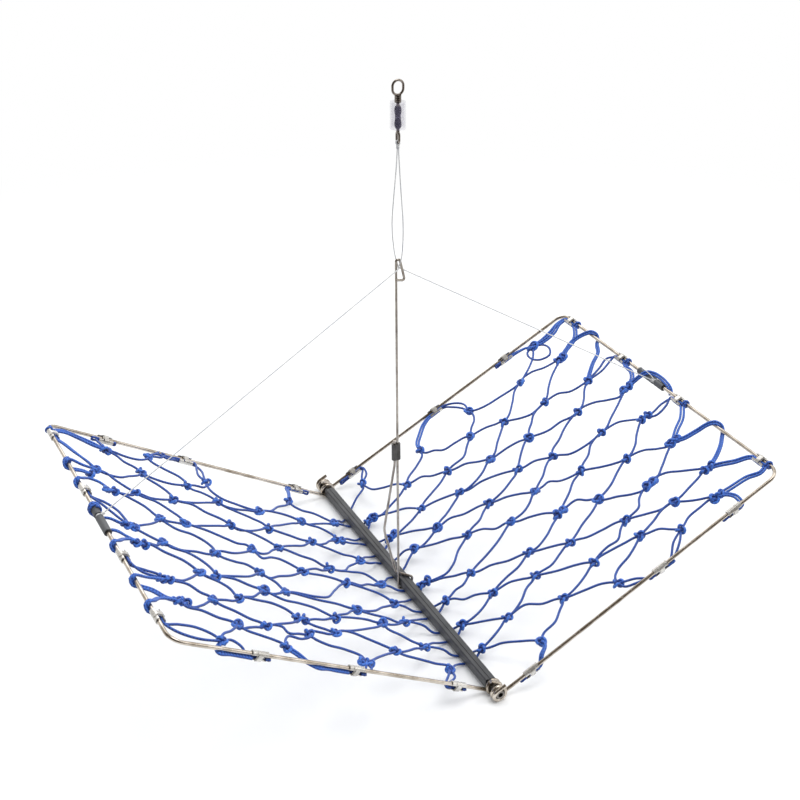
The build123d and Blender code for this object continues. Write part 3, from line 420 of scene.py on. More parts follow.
# painted shade: near-black plastic for the shaded inside of the sleeves' bores
PAINTED_BORE_SHADE = plastic("painted_bore_shade", (0.004, 0.004, 0.004), (0.012, 0.011, 0.011), 0.6, 400.0)
CLEAR = clear_plastic("clear_sleeve")
NODE_FINISH = {
    "spine_tube": TUBE, "hinge_rod": ROD, "stem_wire": STEM, "stem_ferrule": FERRULE,
    "swivel_lower_eye": SWIVEL_EYE, "swivel_ring": SWIVEL_RING,
    "swivel_barrel": BARREL, "swivel_sleeve": CLEAR,
    "left_frame_wire": WIRE, "right_frame_wire": WIRE,
    "left_line_sleeves": SLEEVE, "right_line_sleeves": SLEEVE,
}
for node, finish in NODE_FINISH.items():
    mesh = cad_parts[node].data
    mesh.materials.clear()
    mesh.materials.append(finish)

# ---- camera, light and floor ----------------
CAMERA_AT = Vector((-0.41389, -0.85541, 0.66371))
CAMERA_BACK = Vector((-0.3829, -0.7950, 0.4705)).normalized()
CAMERA_LENS = 69.1
CAMERA_FAR = 50
SENSOR = 36.0
LIT_PLACE = Vector((0, 0, 0.1))
# Each light's place, size across and power.
LIGHTS = {
    "key": ((0.35, -0.3, 2.0), 1.3, 14),
    "fill": ((1.5, -1.0, 1.1), 1.2, 5),
    "back": ((0.3, 1.6, 1.4), 1.2, 6),
}
SKY_LIT_SIDE = (0.55, 0.5, 0.66)  # more light comes from this side
SKY = ((0.0, (0.24, 0.245, 0.25)), (1.0, (1.26, 1.28, 1.30)))
SKY_STRENGTH = 0.82
ROOM_LIT_SIDE = (0.6, 0.65, -0.45)  # reflections show a room that is bright here and dark opposite
ROOM = ((0.0, (0.10, 0.085, 0.070)), (0.32, (0.16, 0.135, 0.110)), (0.50, (0.70, 0.68, 0.65)),
        (0.62, (0.95, 0.93, 0.90)), (1.0, (1, 1, 1)))
WHITE = (1, 1, 1, 1)
FLOOR_CORNERS = [(-3, -0.5, 0), (3, -0.5, 0), (3, 4, 0), (-3, 4, 0)]
FLOOR_LIGHTING = (0.55, 0.55, 0.56, 1)
FLOOR_SEEN = (0.97, 0.97, 0.97, 1)
FLOOR_FADE = (0.45, 1.0)  # distances from the spine's middle between which the floor turns white


def make_camera():
    data = bpy.data.cameras.new("camera")
    data.lens = CAMERA_LENS
    data.sensor_width = SENSOR
    data.clip_end = CAMERA_FAR
    cam = add_object("camera", data)
    right = Vector((0, 0, 1)).cross(CAMERA_BACK).normalized()
    up = CAMERA_BACK.cross(right)
    turn = Matrix((right, up, CAMERA_BACK)).transposed().to_4x4()
    cam.matrix_world = Matrix.Translation(CAMERA_AT) @ turn
    bpy.context.scene.camera = cam


def area_light(name, place, size, power):
    data = bpy.data.lights.new(name, "AREA")
    data.shape = "DISK"
    data.size = size
    data.energy = power
    light = add_object(name, data)
    light.location = place
    light.rotation_euler = (Vector(place) - LIT_PLACE).to_track_quat("Z", "Y").to_euler()


def empty_tree(owner):
    owner.use_nodes = True
    owner.node_tree.nodes.clear()
    return owner.node_tree


def facing(tree, side):
    """How far a direction of the world turns to a side: 0 away from it and 1 towards it."""
    inputs = {0: place_in(tree, "Generated"), 1: side}
    toward = add_node(tree, "ShaderNodeVectorMath", inputs, operation="DOT_PRODUCT")
    return math_node(tree, "MULTIPLY_ADD", toward.outputs["Value"], 0.5, 0.5)


def mix_shaders(tree, share, first, second):
    inputs = {"Fac": share, 1: first.outputs[0], 2: second.outputs[0]}
    return add_node(tree, "ShaderNodeMixShader", inputs)


def by_ray(tree, lighting, seen):
    """The seen shader for camera, glossy and transmission rays, and the lighting one for the rest."""
    path = add_node(tree, "ShaderNodeLightPath")
    by_eye = path.outputs["Is Camera Ray"]
    for name in ("Is Glossy Ray", "Is Transmission Ray"):
        by_eye = math_node(tree, "MAXIMUM", by_eye, path.outputs[name])
    return mix_shaders(tree, by_eye, lighting, seen).outputs["Shader"]


def make_world():
    world = bpy.data.worlds.new("studio")
    bpy.context.scene.world = world
    tree = empty_tree(world)
    sky = ramp(tree, facing(tree, SKY_LIT_SIDE), SKY)
    room = ramp(tree, facing(tree, ROOM_LIT_SIDE), ROOM)
    is_glossy = add_node(tree, "ShaderNodeLightPath").outputs["Is Glossy Ray"]
    lighting = add_node(tree, "ShaderNodeBackground", {"Color": sky, "Strength": SKY_STRENGTH})
    seen = add_node(tree, "ShaderNodeBackground", {"Color": mix_colors(tree, is_glossy, WHITE, room)})
    add_node(tree, "ShaderNodeOutputWorld", {"Surface": by_ray(tree, lighting, seen)})


def far_share(tree):
    """0 on the floor near the object and 1 far from it, where the floor turns plain white."""
    length = add_node(tree, "ShaderNodeVectorMath", {0: place_in(tree, "Object")}, operation="LENGTH")
    inputs = {"Value": length.outputs["Value"], "From Min": FLOOR_FADE[0], "From Max": FLOOR_FADE[1]}
    share = add_node(tree, "ShaderNodeMapRange", inputs, interpolation_type="SMOOTHSTEP")
    return share.outputs["Result"]


def make_floor():
    """White floor. It ends in front of the object, where wires reflect the dark side of the room."""
    mat = bpy.data.materials.new("floor")
    tree = empty_tree(mat)
    lighting = add_node(tree, "ShaderNodeBsdfDiffuse", {"Color": FLOOR_LIGHTING})
    near = add_node(tree, "ShaderNodeBsdfDiffuse", {"Color": FLOOR_SEEN})
    far = add_node(tree, "ShaderNodeEmission")
    seen = mix_shaders(tree, far_share(tree), near, far)
    add_node(tree, "ShaderNodeOutputMaterial", {"Surface": by_ray(tree, lighting, seen)})
    floor = add_object("floor", new_mesh("floor", FLOOR_CORNERS, [(0, 1, 2, 3)], mat))


make_camera()
make_world()
make_floor()
for name, row in LIGHTS.items():
    area_light(name, *row)
bpy.context.scene.view_settings.view_transform = "Standard"

# ---- fishing line ----------------
LINE_R = 0.4
LINE_D = 2 * LINE_R
LINE_FACES = 8
EYE_LINE = {"left": (-0.6, 4.5, 255), "right": (0.4, 7.5, 255)}
LIFT_ROUTE = {
    "left": [(-0.6, 4.5, 255), (-0.6, 7.45, 258.6), (-2.6, 7.6, 266), (-4.8, 7.0, 286),
             (-3.4, 6.4, 306), (-1.3, 6.0, 330), (-0.95, 6.0, 339.3)],
    "right": [(0.4, 7.5, 255), (0.4, 4.55, 258.4), (2.2, 4.5, 266), (3.2, 5.2, 286),
              (1.8, 5.8, 306), (0.4, 6.0, 330), (-0.05, 6.0, 339.3)],
}
PULL_POINTS = 6
LINE_SEAT = 4.45  # from the outer bar's middle to the line, past its loop and knot
LOOP_R = 1.85  # loop of line round an outer bar
LOOP_TURNS = 2.2
LINE_KNOT = 2.6  # length of a knot in the line
LINE_KNOT_R = 0.85  # its turns' middle
LOWER_EYE = (-0.5, 6.0, 343.2)
LOWER_EYE_LOOP_R = 1.3
LOWER_EYE_TURNS = 1.8
STANDING_LOOP = [(247.5, 7.0, 2.0), (247.2, 9.0, 5.2), (246.8, 13.0, 8.6), (246.8, 17.5, 8.8),
                 (247.2, 21.5, 6.0), (247.6, 23.0, 3.2)]
STANDING_LOOP_R = 0.3
STANDING_LOOP_STEP = 0.8
TURN_POINTS = 16


def turns_about(center, axis, radius, pitch, turns):
    """Points of a helix round an axis, in metres, from its middle at center."""
    axis = np.array(axis, float) / np.linalg.norm(axis)
    first = np.cross(axis, (0.3, 0.2, 0.9) if abs(axis[2]) < 0.9 else (1, 0, 0))
    first /= np.linalg.norm(first)
    second = np.cross(axis, first)
    angle = 2 * math.pi * turns * np.linspace(0, 1, int(turns * TURN_POINTS) + 1)
    along = (angle / (2 * math.pi) - turns / 2) * pitch
    out = np.cos(angle)[:, None] * first + np.sin(angle)[:, None] * second
    return center + along[:, None] * axis + radius * out


def pull_place(side):
    """Where a pull line turns at the stem's eye, the outer bar's middle, and the direction up from there."""
    turn = np.array(EYE_LINE[side]) * MM
    bar = leaf(side, LEAF_REACH, EYE_LINE[side][1])
    return turn, bar, (turn - bar) / np.linalg.norm(turn - bar)


def add_turns(tubes, center, axis, radius, turns):
    """Turns of line laid close to one another round an axis."""
    line = turns_about(center, axis, radius * MM, LINE_D * MM, turns)
    tubes.add(line, LINE_R * MM, LINE_FACES)


def line_piece(name, line, replaced):
    tubes = Tubes()
    tubes.add(line, LINE_R * MM, LINE_FACES)
    piece = tubes.object(name, LINE)
    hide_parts(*replaced)
    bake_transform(piece)


def line_knot_piece(name, tubes, replaced, body):
    piece = tubes.object(name, LINE)
    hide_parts(replaced)
    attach(piece, body)


for side in SIDES:
    turn, bar, toward = pull_place(side)
    seat = bar + toward * LINE_SEAT * MM
    pull = nurbs_line([tuple(turn + (seat - turn) * t) for t in np.linspace(0, 1, PULL_POINTS)])
    line_piece(f"{side}_pull_line", pull, [f"{side}_pull_line_upper", f"{side}_pull_line_lower"])
    lift = nurbs_line([tuple(np.array(p) * MM) for p in LIFT_ROUTE[side]])
    line_piece(f"{side}_lift", lift, [f"{side}_lift_line"])

for side in SIDES:
    tubes = Tubes()
    _, bar, toward = pull_place(side)
    add_turns(tubes, bar, (0, 1, 0), LOOP_R, LOOP_TURNS)
    add_turns(tubes, bar + toward * (LOOP_R + LINE_KNOT / 2) * MM, toward, LINE_KNOT_R, LINE_KNOT / LINE_D)
    if side == "right":
        loop = smooth_line([leaf(side, *place) for place in STANDING_LOOP], STANDING_LOOP_STEP * MM)
        tubes.add(loop, STANDING_LOOP_R * MM, LINE_FACES)
    line_knot_piece(f"{side}_line_knot", tubes, f"{side}_line_loop", f"{side}_leaf")

tubes = Tubes()
lower_eye = np.array(LOWER_EYE) * MM
add_turns(tubes, lower_eye, (0, 1, 0), LOWER_EYE_LOOP_R, LOWER_EYE_TURNS)
under_eye = lower_eye - np.array((0, 0, LOWER_EYE_LOOP_R + LINE_KNOT / 2)) * MM
add_turns(tubes, under_eye, (0, 0, 1), LINE_KNOT_R, LINE_KNOT / LINE_D)
line_knot_piece("lift_knot", tubes, "lift_line_knot", "lift")

# ---- net ----------------
# Each half of the net, by leaf coordinates in millimetres. KNOTS has a name and a place for each knot, and a
# row of STRANDS has a strand's two knots and the places between them.
KNOTS = {
    "right": """
A0 25,126 A1 11.6,83 A2 15,51 A3 22.4,23.4 A4 10.4,-13.6 A5 14,-42.4 A6 11.6,-72 A7 11,-102.4
B0 51,89.6 B1 46.4,56 B2 45.6,26.4 B3 59,-0.6 B4 41.4,-35.6 B5 43,-66 B6 39,-94 B7 45.4,-131.6
C0 79,115 C1 82.6,73 C2 77.4,44 C3 87.4,13 C4 89.6,-18 C5 82.6,-55.6 C6 74,-78.4 C7 77,-112.4
D0 130.4,117.6 D1 116,90 D2 113,52.4 D3 122,23.4 D4 119.4,-8 D5 120.4,-42.6 D6 109,-73.6 D7 110.4,-103.6
D8 111.6,-133 E0 143,79 E1 147.6,45.6 E2 148.6,11 E3 154.6,-21 E4 147,-56 E5 148.6,-90 E6 147.4,-110.4
E7 170.4,-129.6 F0 178,106.4 F1 178,68 F2 188.6,34.4 F3 188,-1 F4 184.6,-40.6 F5 181.6,-76.4 F6 183,-105
G0 208,134.4 G1 215,99.4 G2 214,56.6 G3 229,22 G4 219,-17 G5 218,-56 G6 217.6,-99 G7 206,-126""",
    "left": """
a0 17.6,86 a1 29,55 a2 22.4,27 a3 17.5,-2 a4 24.4,-36 a5 29,-61 a6 30,-94 a7 22,-119
b0 50.4,109 b1 54.4,75 b2 61,41 b3 59.4,7.6 b4 58,-18 b5 68.4,-56.6 b6 53,-70 b7 62,-107
c0 92,75 c1 96.4,47 c2 100,17 c3 93.6,-14 c4 125,-51.6 c5 96.4,-76 c6 106,-97 c7 98.4,-130
d0 126.4,107.6 d1 129,75 d2 132.6,38.6 d3 128,5 d4 136.4,-29.6 d5 144.4,-55 d6 129,-86 d7 131,-105
d8 159,-128 e0 168,130 e1 149,92 e2 171.6,60 e3 175,24.4 e4 166,-14.4 e5 178.4,-48 e6 171,-74 e7 164,-105
f0 206,123 f1 185,97 f2 203,57.6 f3 195,23 f4 206,-14 f5 191,-48 f6 194,-83 f7 187,-110 f8 207.6,-134
g0 226,83 gk 233,72 g1 224,52 g2 225.6,1 g3 226,-23 g4 223,-67 g5 221,-93""",
}
STRANDS = {
    "right": """
A0 B0 26,118 28,112 35,105 46,98
A1 B0 20,79.4 31,82 42,84.4 48,88
B0 C0 55,95 68,102 77,108
B0 C1 57,88 64,87 71,80 79,75
A1 B1 19,79 28,74 38,68 44,60
A2 B1 20,49.4 28,50 36,52 43,54
A2 B2 22,46 31,40 38,34 43,29
B1 C1 50,59 62,63 72,67 79,71
B1 C2 50,54.6 58,53 68,48 74,45.6
A3 B2 27,21 33,21.6 39,23.6 43,25
A3 B3 26,20 36,14 48,7 56,1
B2 C2 49,29 58,33 68,38 75,42
B2 C3 49,26.4 57,26 68,20 83,15.6
B3 C3 63,1 74,4 80,9 85,12
A4 B3 14,-16 20,-18.4 28,-19.6 36,-17 46,-8 55,-3
A4 B4 14,-16.4 23,-21 31,-27 39,-32.4
B3 C4 63,-1.6 70,-6 78,-14 87,-17
B4 C4 46,-33.6 58,-31 72,-27 86,-20
A5 B4 18,-42 25,-39.6 31,-40.6 38,-37
A5 B5 19,-46 25,-53 32,-56 40,-63
B4 C5 45,-38 56,-42 68,-50 79,-54
C4 D4 93,-18 101,-18 110,-14 116,-10
C4 D5 92,-21 102,-27 112,-34 118,-40
C3 D3 92,13 102,13.6 112,17.6 119,21
C3 D4 91,10.4 100,7 110,0 117,-6
C2 D2 81,41.6 92,42 102,46 110,51
C2 D3 82,41 96,38.4 108,33 118,26
C1 D1 88,73.6 100,75 108,83 113,87.6
C1 D2 86,70.4 97,66 106,59 111,54.4
C0 D1 80,108 87,103 92,97 104,95 113,93
D0 D1 131,113 128,104 121,97 117.6,93
D0 F0 134,114 139,110.6 158,107.6 174,106.4
D1 E0 120,90 130,87 138,83 141,81
D2 E0 118,54 127,63 137,73 141,77
D2 E1 118,52.4 131,51 141,48 145,46
E0 F0 148,81 160,92 170,103 175,105.6
E0 F1 147,76 156,69 163,66 170,67
E1 F1 151,51 158,58 164,64 171,67
E1 F2 152,42.4 162,38.4 174,37.6 184,34.4
D3 E1 126,28 136,38 143,44 146,45.6
D3 E2 127,21.4 136,19 144,14 147,12
D4 E2 124,-5 132,0 140,7 146,11
D4 E3 126,-9 131,-9 138,-16 151,-21
E2 F2 152,17 162,22 172,29 184,34
E2 F3 152,8 158,2 172,-2.4 183,-1.6
E3 F3 158,-18 168,-12 176,-4 184,-1.6
E3 F4 158,-24 168,-31 176,-37 182,-40
D5 E3 125,-39 136,-32 146,-24 152,-22
D5 E4 126,-42 136,-43 141,-50 146,-54
C5 D5 88,-56.4 100,-53.6 112,-47 118,-44
C5 D6 86,-58 96,-64 104,-70 108,-73
D6 E4 113,-72 126,-66 138,-62 145,-58
D6 E5 113,-75 120,-79 132,-83 146,-88
E4 F4 150,-55.6 162,-52 172,-46 181,-42
E4 F5 149,-59 158,-66 168,-74 174,-77
E5 F5 153,-90 162,-88.6 168,-81 174,-77
E5 F6 152,-91.6 162,-97 174,-103 180,-104.4
D7 E5 115,-101.6 126,-100 134,-100.6 142,-94 146,-91
D7 E6 115,-102.4 126,-104 136,-107 144,-109
E6 F6 152,-110 162,-107 172,-104 180,-103.6
E6 E7 152,-113 160,-116 166,-124 169,-128
D8 E6 113,-128 118,-123 132,-119 144,-113
C6 D6 78,-79 88,-79.6 98,-76 106,-74
C6 D7 77,-81 88,-88 100,-94 108,-101
B5 C5 48,-64 58,-62.4 70,-61 80,-57
B5 C6 48,-66 57,-68 66,-73 71,-77
A6 B5 16,-73.6 24,-73.6 32,-71 39,-67.6
A6 B6 16,-76 24,-82 32,-88 37,-92
B6 C6 43,-93.6 54,-90 64,-83 71,-80
B6 C7 44,-94 54,-95 64,-104 74,-110
A7 B6 15,-101.6 24,-100 32,-97 36,-95
A7 B7 14,-105 24,-110 34,-119 43,-128
B7 C7 49,-128 62,-125 70,-119 75,-115
C7 D7 81,-113 90,-111.6 100,-108 107,-105
C7 D8 80,-114.4 92,-119 104,-124 110,-130
E7 G7 174,-128 180,-125 192,-124.4 201,-124
F6 G6 187,-105 198,-103 210,-100 215,-98.6
F6 G7 185,-107 194,-117 202,-123
F5 G5 187,-76 198,-69 208,-62 214,-58
F5 G6 186,-75 194,-76 204,-86 214,-96
F4 G4 189,-40 196,-36 206,-25 216,-18
F4 G5 189,-41 198,-45 206,-53 214,-57
F3 G3 192,-1 202,5 214,13 222,18
F3 G4 193,-1.6 203,-3 210,-10 216,-15
F2 G2 194,36 200,42 208,52 212,55
F2 G3 193,35.6 203,32 212,24 220,19
F1 G2 182,68.4 190,67 198,60 211,56.4
F1 G1 181,70 190,80 200,90 210,96
F0 G1 181,109 190,108.4 200,103 211,100.6
F0 G0 182,108.4 192,115 202,124 206,130""",
    "left": """
b0 a0 50,102 44,97 34,95 22,90
b0 c0 55,101 68,92 80,81 86,78.4
b1 a0 51,73 40,76 30,81 20,85
b1 a1 51,72 40,69 32,65 29,59
c0 b1 86,78 74,79 62,78 57,76
c1 b1 93,50 80,59 68,65 58,71
c1 b2 92,47 80,44 68,40.4 63,40
b2 a1 57,39 48,42 40,49 34,52
b2 a2 57,38 46,35 37,31 26,30
c2 b2 96,20 84,26 72,31 64,38
c2 b3 95,16.4 84,12 74,9 63,8
b3 a2 55,7 46,8 36,18 26,24
b3 a3 56,6 40,9 26,9 19,4
c3 b3 90,-11 80,-6 68,0 62,4
c3 b4 89,-14 78,-14.4 66,-16 61,-17.4
b4 a3 54,-17 46,-17 34,-10 21,-5
b4 a4 54,-18.6 42,-21 32,-26 27,-32
b5 a4 65,-57 52,-54 40,-45 28,-39
b5 a5 65,-58.6 56,-61 44,-62 36,-64
c4 b4 120,-50 100,-50 88,-46 76,-34 63,-21
c4 b5 120,-50.4 100,-53 84,-55 72,-56
b6 a5 50,-70 40,-68 34,-65
b6 a6 52,-76 44,-83 38,-89 32,-93
c5 b5 92,-72 82,-67 74,-60 70,-58
c5 b6 90,-73 80,-71.6 66,-70.4 58,-70
c6 b6 100,-93 88,-89 72,-82 58,-75
c6 b7 100,-93 90,-92 80,-96 65,-105
b7 a6 58,-107 48,-103 40,-99 34,-97
a7 b7 22,-119 34,-115 46,-113 58,-109
c7 b7 94,-128 84,-121 74,-115 65,-110
d7 c7 130,-109 122,-115 108,-117 98,-124
d7 c6 127,-100 118,-99.6 112,-100 108,-98
d6 c6 127,-88 120,-92 112,-94 108,-96
d6 c5 126,-86 116,-83 106,-80 100,-78
d5 c5 140,-59 132,-63 120,-64 108,-67 101,-72
d5 c4 140,-57.6 132,-56 128,-53.6
d4 c4 134,-33 128,-40 125.6,-47
d4 c3 132,-34 120,-29 108,-24 97,-17
d3 c3 126,0 124,-5 116,-3 109,-1.6 96,-10
d3 c2 124,1 116,4 108,11 103,14
d2 c2 129,34 120,33 108,27 102,20
d2 c1 128,33.6 120,34 108,40 100,45
d1 c1 126,70.4 118,66 106,58 98,51
d1 c0 125,69 116,68 104,71 98,72
d0 c0 127.6,100 127,90 122,83 110,79 96,76
d0 e1 129,100 132,96.4 140,95 145,93
e1 d1 146,87 140,84 132,78
e1 f1 152,90 162,88.4 174,90 182,94
e0 e1 168,123 160,114 150,104 148.4,96
e0 f0 172,123 178,120 194,120 199,122
f0 f1 199,119 195,108 188,101
f1 g0 189,90 200,83 208,78.4 220,80
f1 e2 184,88 176,80 172,70 171,64
e2 d1 167,60 154,63 140,68 132,72
e2 d2 166,60 156,60 148,52 136,42
e2 f2 175,58 184,56 194,53.6 200,56
g0 f2 219,80 214,72 208,63 204,60
f2 g1 205,54 212,50 219,50.4
f2 e3 200,54 190,49 181,40 176,29
g1 f3 218,50 210,46 202,38 197,27
f3 e3 191,22 182,21.6 179,22.4
e3 d2 171,23 160,27 146,31 136,36
e3 d3 170,23 160,20 146,12 138,9.6 131,9
f3 e4 193,19 186,11 176,8.4 167,2 164.4,-8
f3 g2 198,19 206,12 214,6 219,4
g2 f4 221,-3 214,-10 209,-13
f4 g3 209,-17 214,-21 219,-20
f4 e4 203,-17 196,-19 182,-18 170,-16.6
f4 e5 202,-18 190,-23 181,-32 178,-42
e4 d3 161,-10 150,-9 140,-4 132,1
e4 d4 162,-18 152,-21 144,-22 139,-26
g3 f5 219,-21 210,-28 198,-37 193,-44
f5 e5 189,-51 183,-54 180,-51
f5 e6 188,-51.6 180,-57 174,-64 172,-70
f5 g4 195,-52 202,-59 210,-64 215,-65
e5 d4 174,-46 162,-43.6 148,-39 140,-33
e5 d5 174,-47 164,-48 154,-53 148,-53.6
g4 f6 217,-68 208,-69 200,-76 196,-80
e6 d5 167,-71 158,-68 151,-62 147,-58
e6 f6 176,-78 184,-80 191,-82
e6 d6 166,-71 156,-71 144,-72 136,-78 131,-83
f6 g5 198,-86 206,-93 216,-97 219,-95
f6 e7 192,-87 182,-93 172,-99 167,-103
g5 f7 220,-99 210,-101 198,-105 190,-107
f7 e7 185,-113 180,-112 174,-109 168,-107
e7 d6 160,-103 152,-100 140,-95 132,-89
e7 d7 156,-101 151,-103 149,-109 140,-108 134,-106
f7 d8 183,-114 174,-119 164,-122 159,-124
f7 f8 190,-114 196,-120 204,-126 207,-130
d7 d8 133,-110 140,-113 151,-114 157,-122""",
}
# Strands that go under the tube. A row has the right net's knot, the strand's place along the hinge and its
# bends, and then the left net's.
UNDER_TUBE = """
A0 110 14,115 24,121 | a0 96 11,92
A1 86 | a0 90 10,86
A1 77 | a1 67 20,60
A2 57 | a1 61 10,56 20,54
A2 46 | a2 41 17,32
A3 29 16,28 | a2 32 8,28 16,26
A3 14 14,18 | a3 9.5 11,3
A4 -10.5 | a3 -8.5 11,-5
A4 -16 | a4 -23 18,-32
A5 -38 | a4 -38 17,-37
A5 -46 | a5 -48 22,-58
A6 -68 | a5 -66 12,-62 22,-60
A6 -76 | a6 -79 20,-87
A7 -98 | a6 -95 12,-93 21,-92
A7 -104 | a7 -106 18,-116
"""
# Knots that are tied twice, side by side, and half the step between the two.
DOUBLED = {
    "right": "A1 A2 A4 D5 F5 G1 G3 G4 G5 G6 G7".split(),
    "left": "a1 g1 g2 g3 g4 g5 d6 c7".split(),
}
DOUBLED_STEP = 2.8
BIG_KNOTS = ("G0", "f0")
KNOT_SIZE = {"plain": 3.6, "doubled": 3.5, "big": 4.6}
KNOT_POINTS = 32
KNOT_STEP = 0.9
KNOT_SWELL = 1.22  # a knot's twine is thicker than a taut strand
KNOT_FLAT = 0.86
KNOT_TILT = 0.35  # how far a knot leans at most, as a slope
KNOT_SPREAD = (0.92, 1.1)  # smallest and largest share of its size
TREFOIL_RISE = 0.42
EIGHT_RISE = 0.34
EIGHT_CHANCE = 0.3
TWINE_FACES = 8
TWINE_STEP = 1.4
STRAND_RISE = 0.5  # how far a strand rises or sags at most
PAIR_SWELL = 1.06  # slack doubled twine is a little thicker than the taut strands
STRAND_SHADE = 0.42  # base of the shade attribute, from 0 to 1, to which painted light and shade are added; higher makes twine lighter
PAIR_SHADE = 0.6
WRAP_SHADE = 0.6
PAIR_SWAY = 0.35  # how far the two lines of a pair turn about each other, in radians
PAIR_TWIST = 3.1  # how fast they do so along the pair
PAIR_PHASE = 5  # and how much the lean shifts it
PAIR_LEAN = (-0.2, 0.5)  # least and greatest angle of the one over the other in a tie
PAIR_SLACK = (0, 0.3)


def rows(text):
    return text.strip().splitlines()


def places_in(words):
    return [tuple(map(float, word.split(","))) for word in words]


def knot_line(center, normal, size, is_eight, turn):
    """Closed line of a knot: a trefoil or a figure-eight, lying across the normal."""
    normal = normal / np.linalg.norm(normal)
    first = np.cross(normal, (0.2, 1.0, 0.1))
    first /= np.linalg.norm(first)
    second = np.cross(normal, first)
    cos, sin = math.cos(turn), math.sin(turn)
    first, second = first * cos + second * sin, second * cos - first * sin
    t = 2 * math.pi * np.arange(KNOT_POINTS) / KNOT_POINTS
    if is_eight:
        out = 2 + np.cos(2 * t)
        x, y, z = out * np.cos(3 * t) / 3, out * np.sin(3 * t) / 3, np.sin(4 * t) * EIGHT_RISE
    else:
        x, y = (np.sin(t) + 2 * np.sin(2 * t)) / 3, (np.cos(t) - 2 * np.cos(2 * t)) / 3
        z = -np.sin(3 * t) * TREFOIL_RISE
    return center + size * (x[:, None] * first + KNOT_FLAT * y[:, None] * second + z[:, None] * normal)


def add_twine(tubes, points, shade=STRAND_SHADE):
    tubes.add(smooth_line(points, TWINE_STEP * MM), TWINE_R * MM, TWINE_FACES, shade=shade)


class Net:
    """Twine of a leaf's net, with the places of its knots by name."""

    def __init__(self, side):
        words = KNOTS[side].split()
        self.side, self.tubes = side, Tubes()
        self.knots = dict(zip(words[::2], places_in(words[1::2])))
        self.normal = np.array([-SIDE[side] * math.sin(LEAF_ANGLE), 0, math.cos(LEAF_ANGLE)])

    def point(self, s, y, rise=0.0):
        return leaf(self.side, s, y, pocket(self.side, s, y) + rise)

    def points(self, places, rise=0.0):
        return [self.point(s, y, rise) for s, y in places]

    def at(self, knot):
        """Where a knot is, as the start or the end of a route."""
        return self.points([self.knots[knot]])

    def add_strand(self, row):
        first, last, *words = row.split()
        bends = [self.point(*place, RNG.uniform(-STRAND_RISE, STRAND_RISE)) for place in places_in(words)]
        add_twine(self.tubes, self.at(first) + bends + self.at(last))

    def add_knot(self, s, y, size):
        tilt = np.array([RNG.uniform(-KNOT_TILT, KNOT_TILT), RNG.uniform(-KNOT_TILT, KNOT_TILT), 0])
        center = self.point(s, y)
        line = knot_line(center, self.normal + tilt, size * RNG.uniform(*KNOT_SPREAD) * MM,
                         RNG.random() < EIGHT_CHANCE, RNG.uniform(0, 2 * math.pi))
        line = smooth_line(line, KNOT_STEP * MM, closed=True)
        # center gives the knot painted shade in its middle and painted light on its outside
        self.tubes.add(line, TWINE_R * KNOT_SWELL * MM, TWINE_FACES, closed=True, center=center)

    def add_knots(self):
        for name, (s, y) in self.knots.items():
            if name in DOUBLED[self.side]:
                self.add_knot(s - DOUBLED_STEP, y, KNOT_SIZE["doubled"])
                self.add_knot(s + DOUBLED_STEP, y, KNOT_SIZE["doubled"])
            else:
                self.add_knot(s, y, KNOT_SIZE["big" if name in BIG_KNOTS else "plain"])

    def add_pair(self, points, lean, slack=0.0):
        """Doubled twine: two lines that turn a little about each other and part in the middle where slack."""
        line = smooth_line(points, TWINE_STEP * MM)
        tangent, _, _ = axes_along(line)
        across = np.cross(self.normal, tangent)
        across /= np.linalg.norm(across, axis=1)[:, None]
        run = np.linspace(0, 1, len(line))
        angle = lean + PAIR_SWAY * np.sin(run * PAIR_TWIST + lean * PAIR_PHASE)
        apart = TWINE_R * PAIR_SWELL * MM * (1 + slack * np.sin(math.pi * run))
        turned = np.cos(angle)[:, None] * across + np.sin(angle)[:, None] * np.cross(tangent, across)
        for sign in (1, -1):
            one = line + sign * apart[:, None] * turned
            self.tubes.add(one, TWINE_R * PAIR_SWELL * MM, TWINE_FACES, shade=PAIR_SHADE)


NET = {side: Net(side) for side in SIDES}
for side, net in NET.items():
    for row in rows(STRANDS[side]):
        net.add_strand(row)
    net.add_knots()

# ---- twine at the frame ----------------
# Where the clips are along each wire.
CLIPS = {
    "left": {"far": (31, 132, 200), "near": (27, 112, 185), "outer": (127, 42, -47, -118)},
    "right": {"far": (26, 111, 185), "near": (27, 140, 206), "outer": (130, 53, -25, -125)},
}
CLIP_LENGTH = 11.5
CLIP_TURN = {"outer": 0.0, "far": -0.25, "near": -1.25}  # angle of a clip's pocket round the wire
CLIP_FLIP = {"outer": 1, "far": 1, "near": -1}  # side of a clip on which its finger is bent over
TAKE_UP = 2.9  # from a wire's middle to the twine in a clip
SPLIT_STEP = 2.2  # half the gap between two strands of a tie that run apart
SPLIT_IN_CLIP = 0.9  # the same in the clip, along the net's normal
TIE_RISE = 0.4
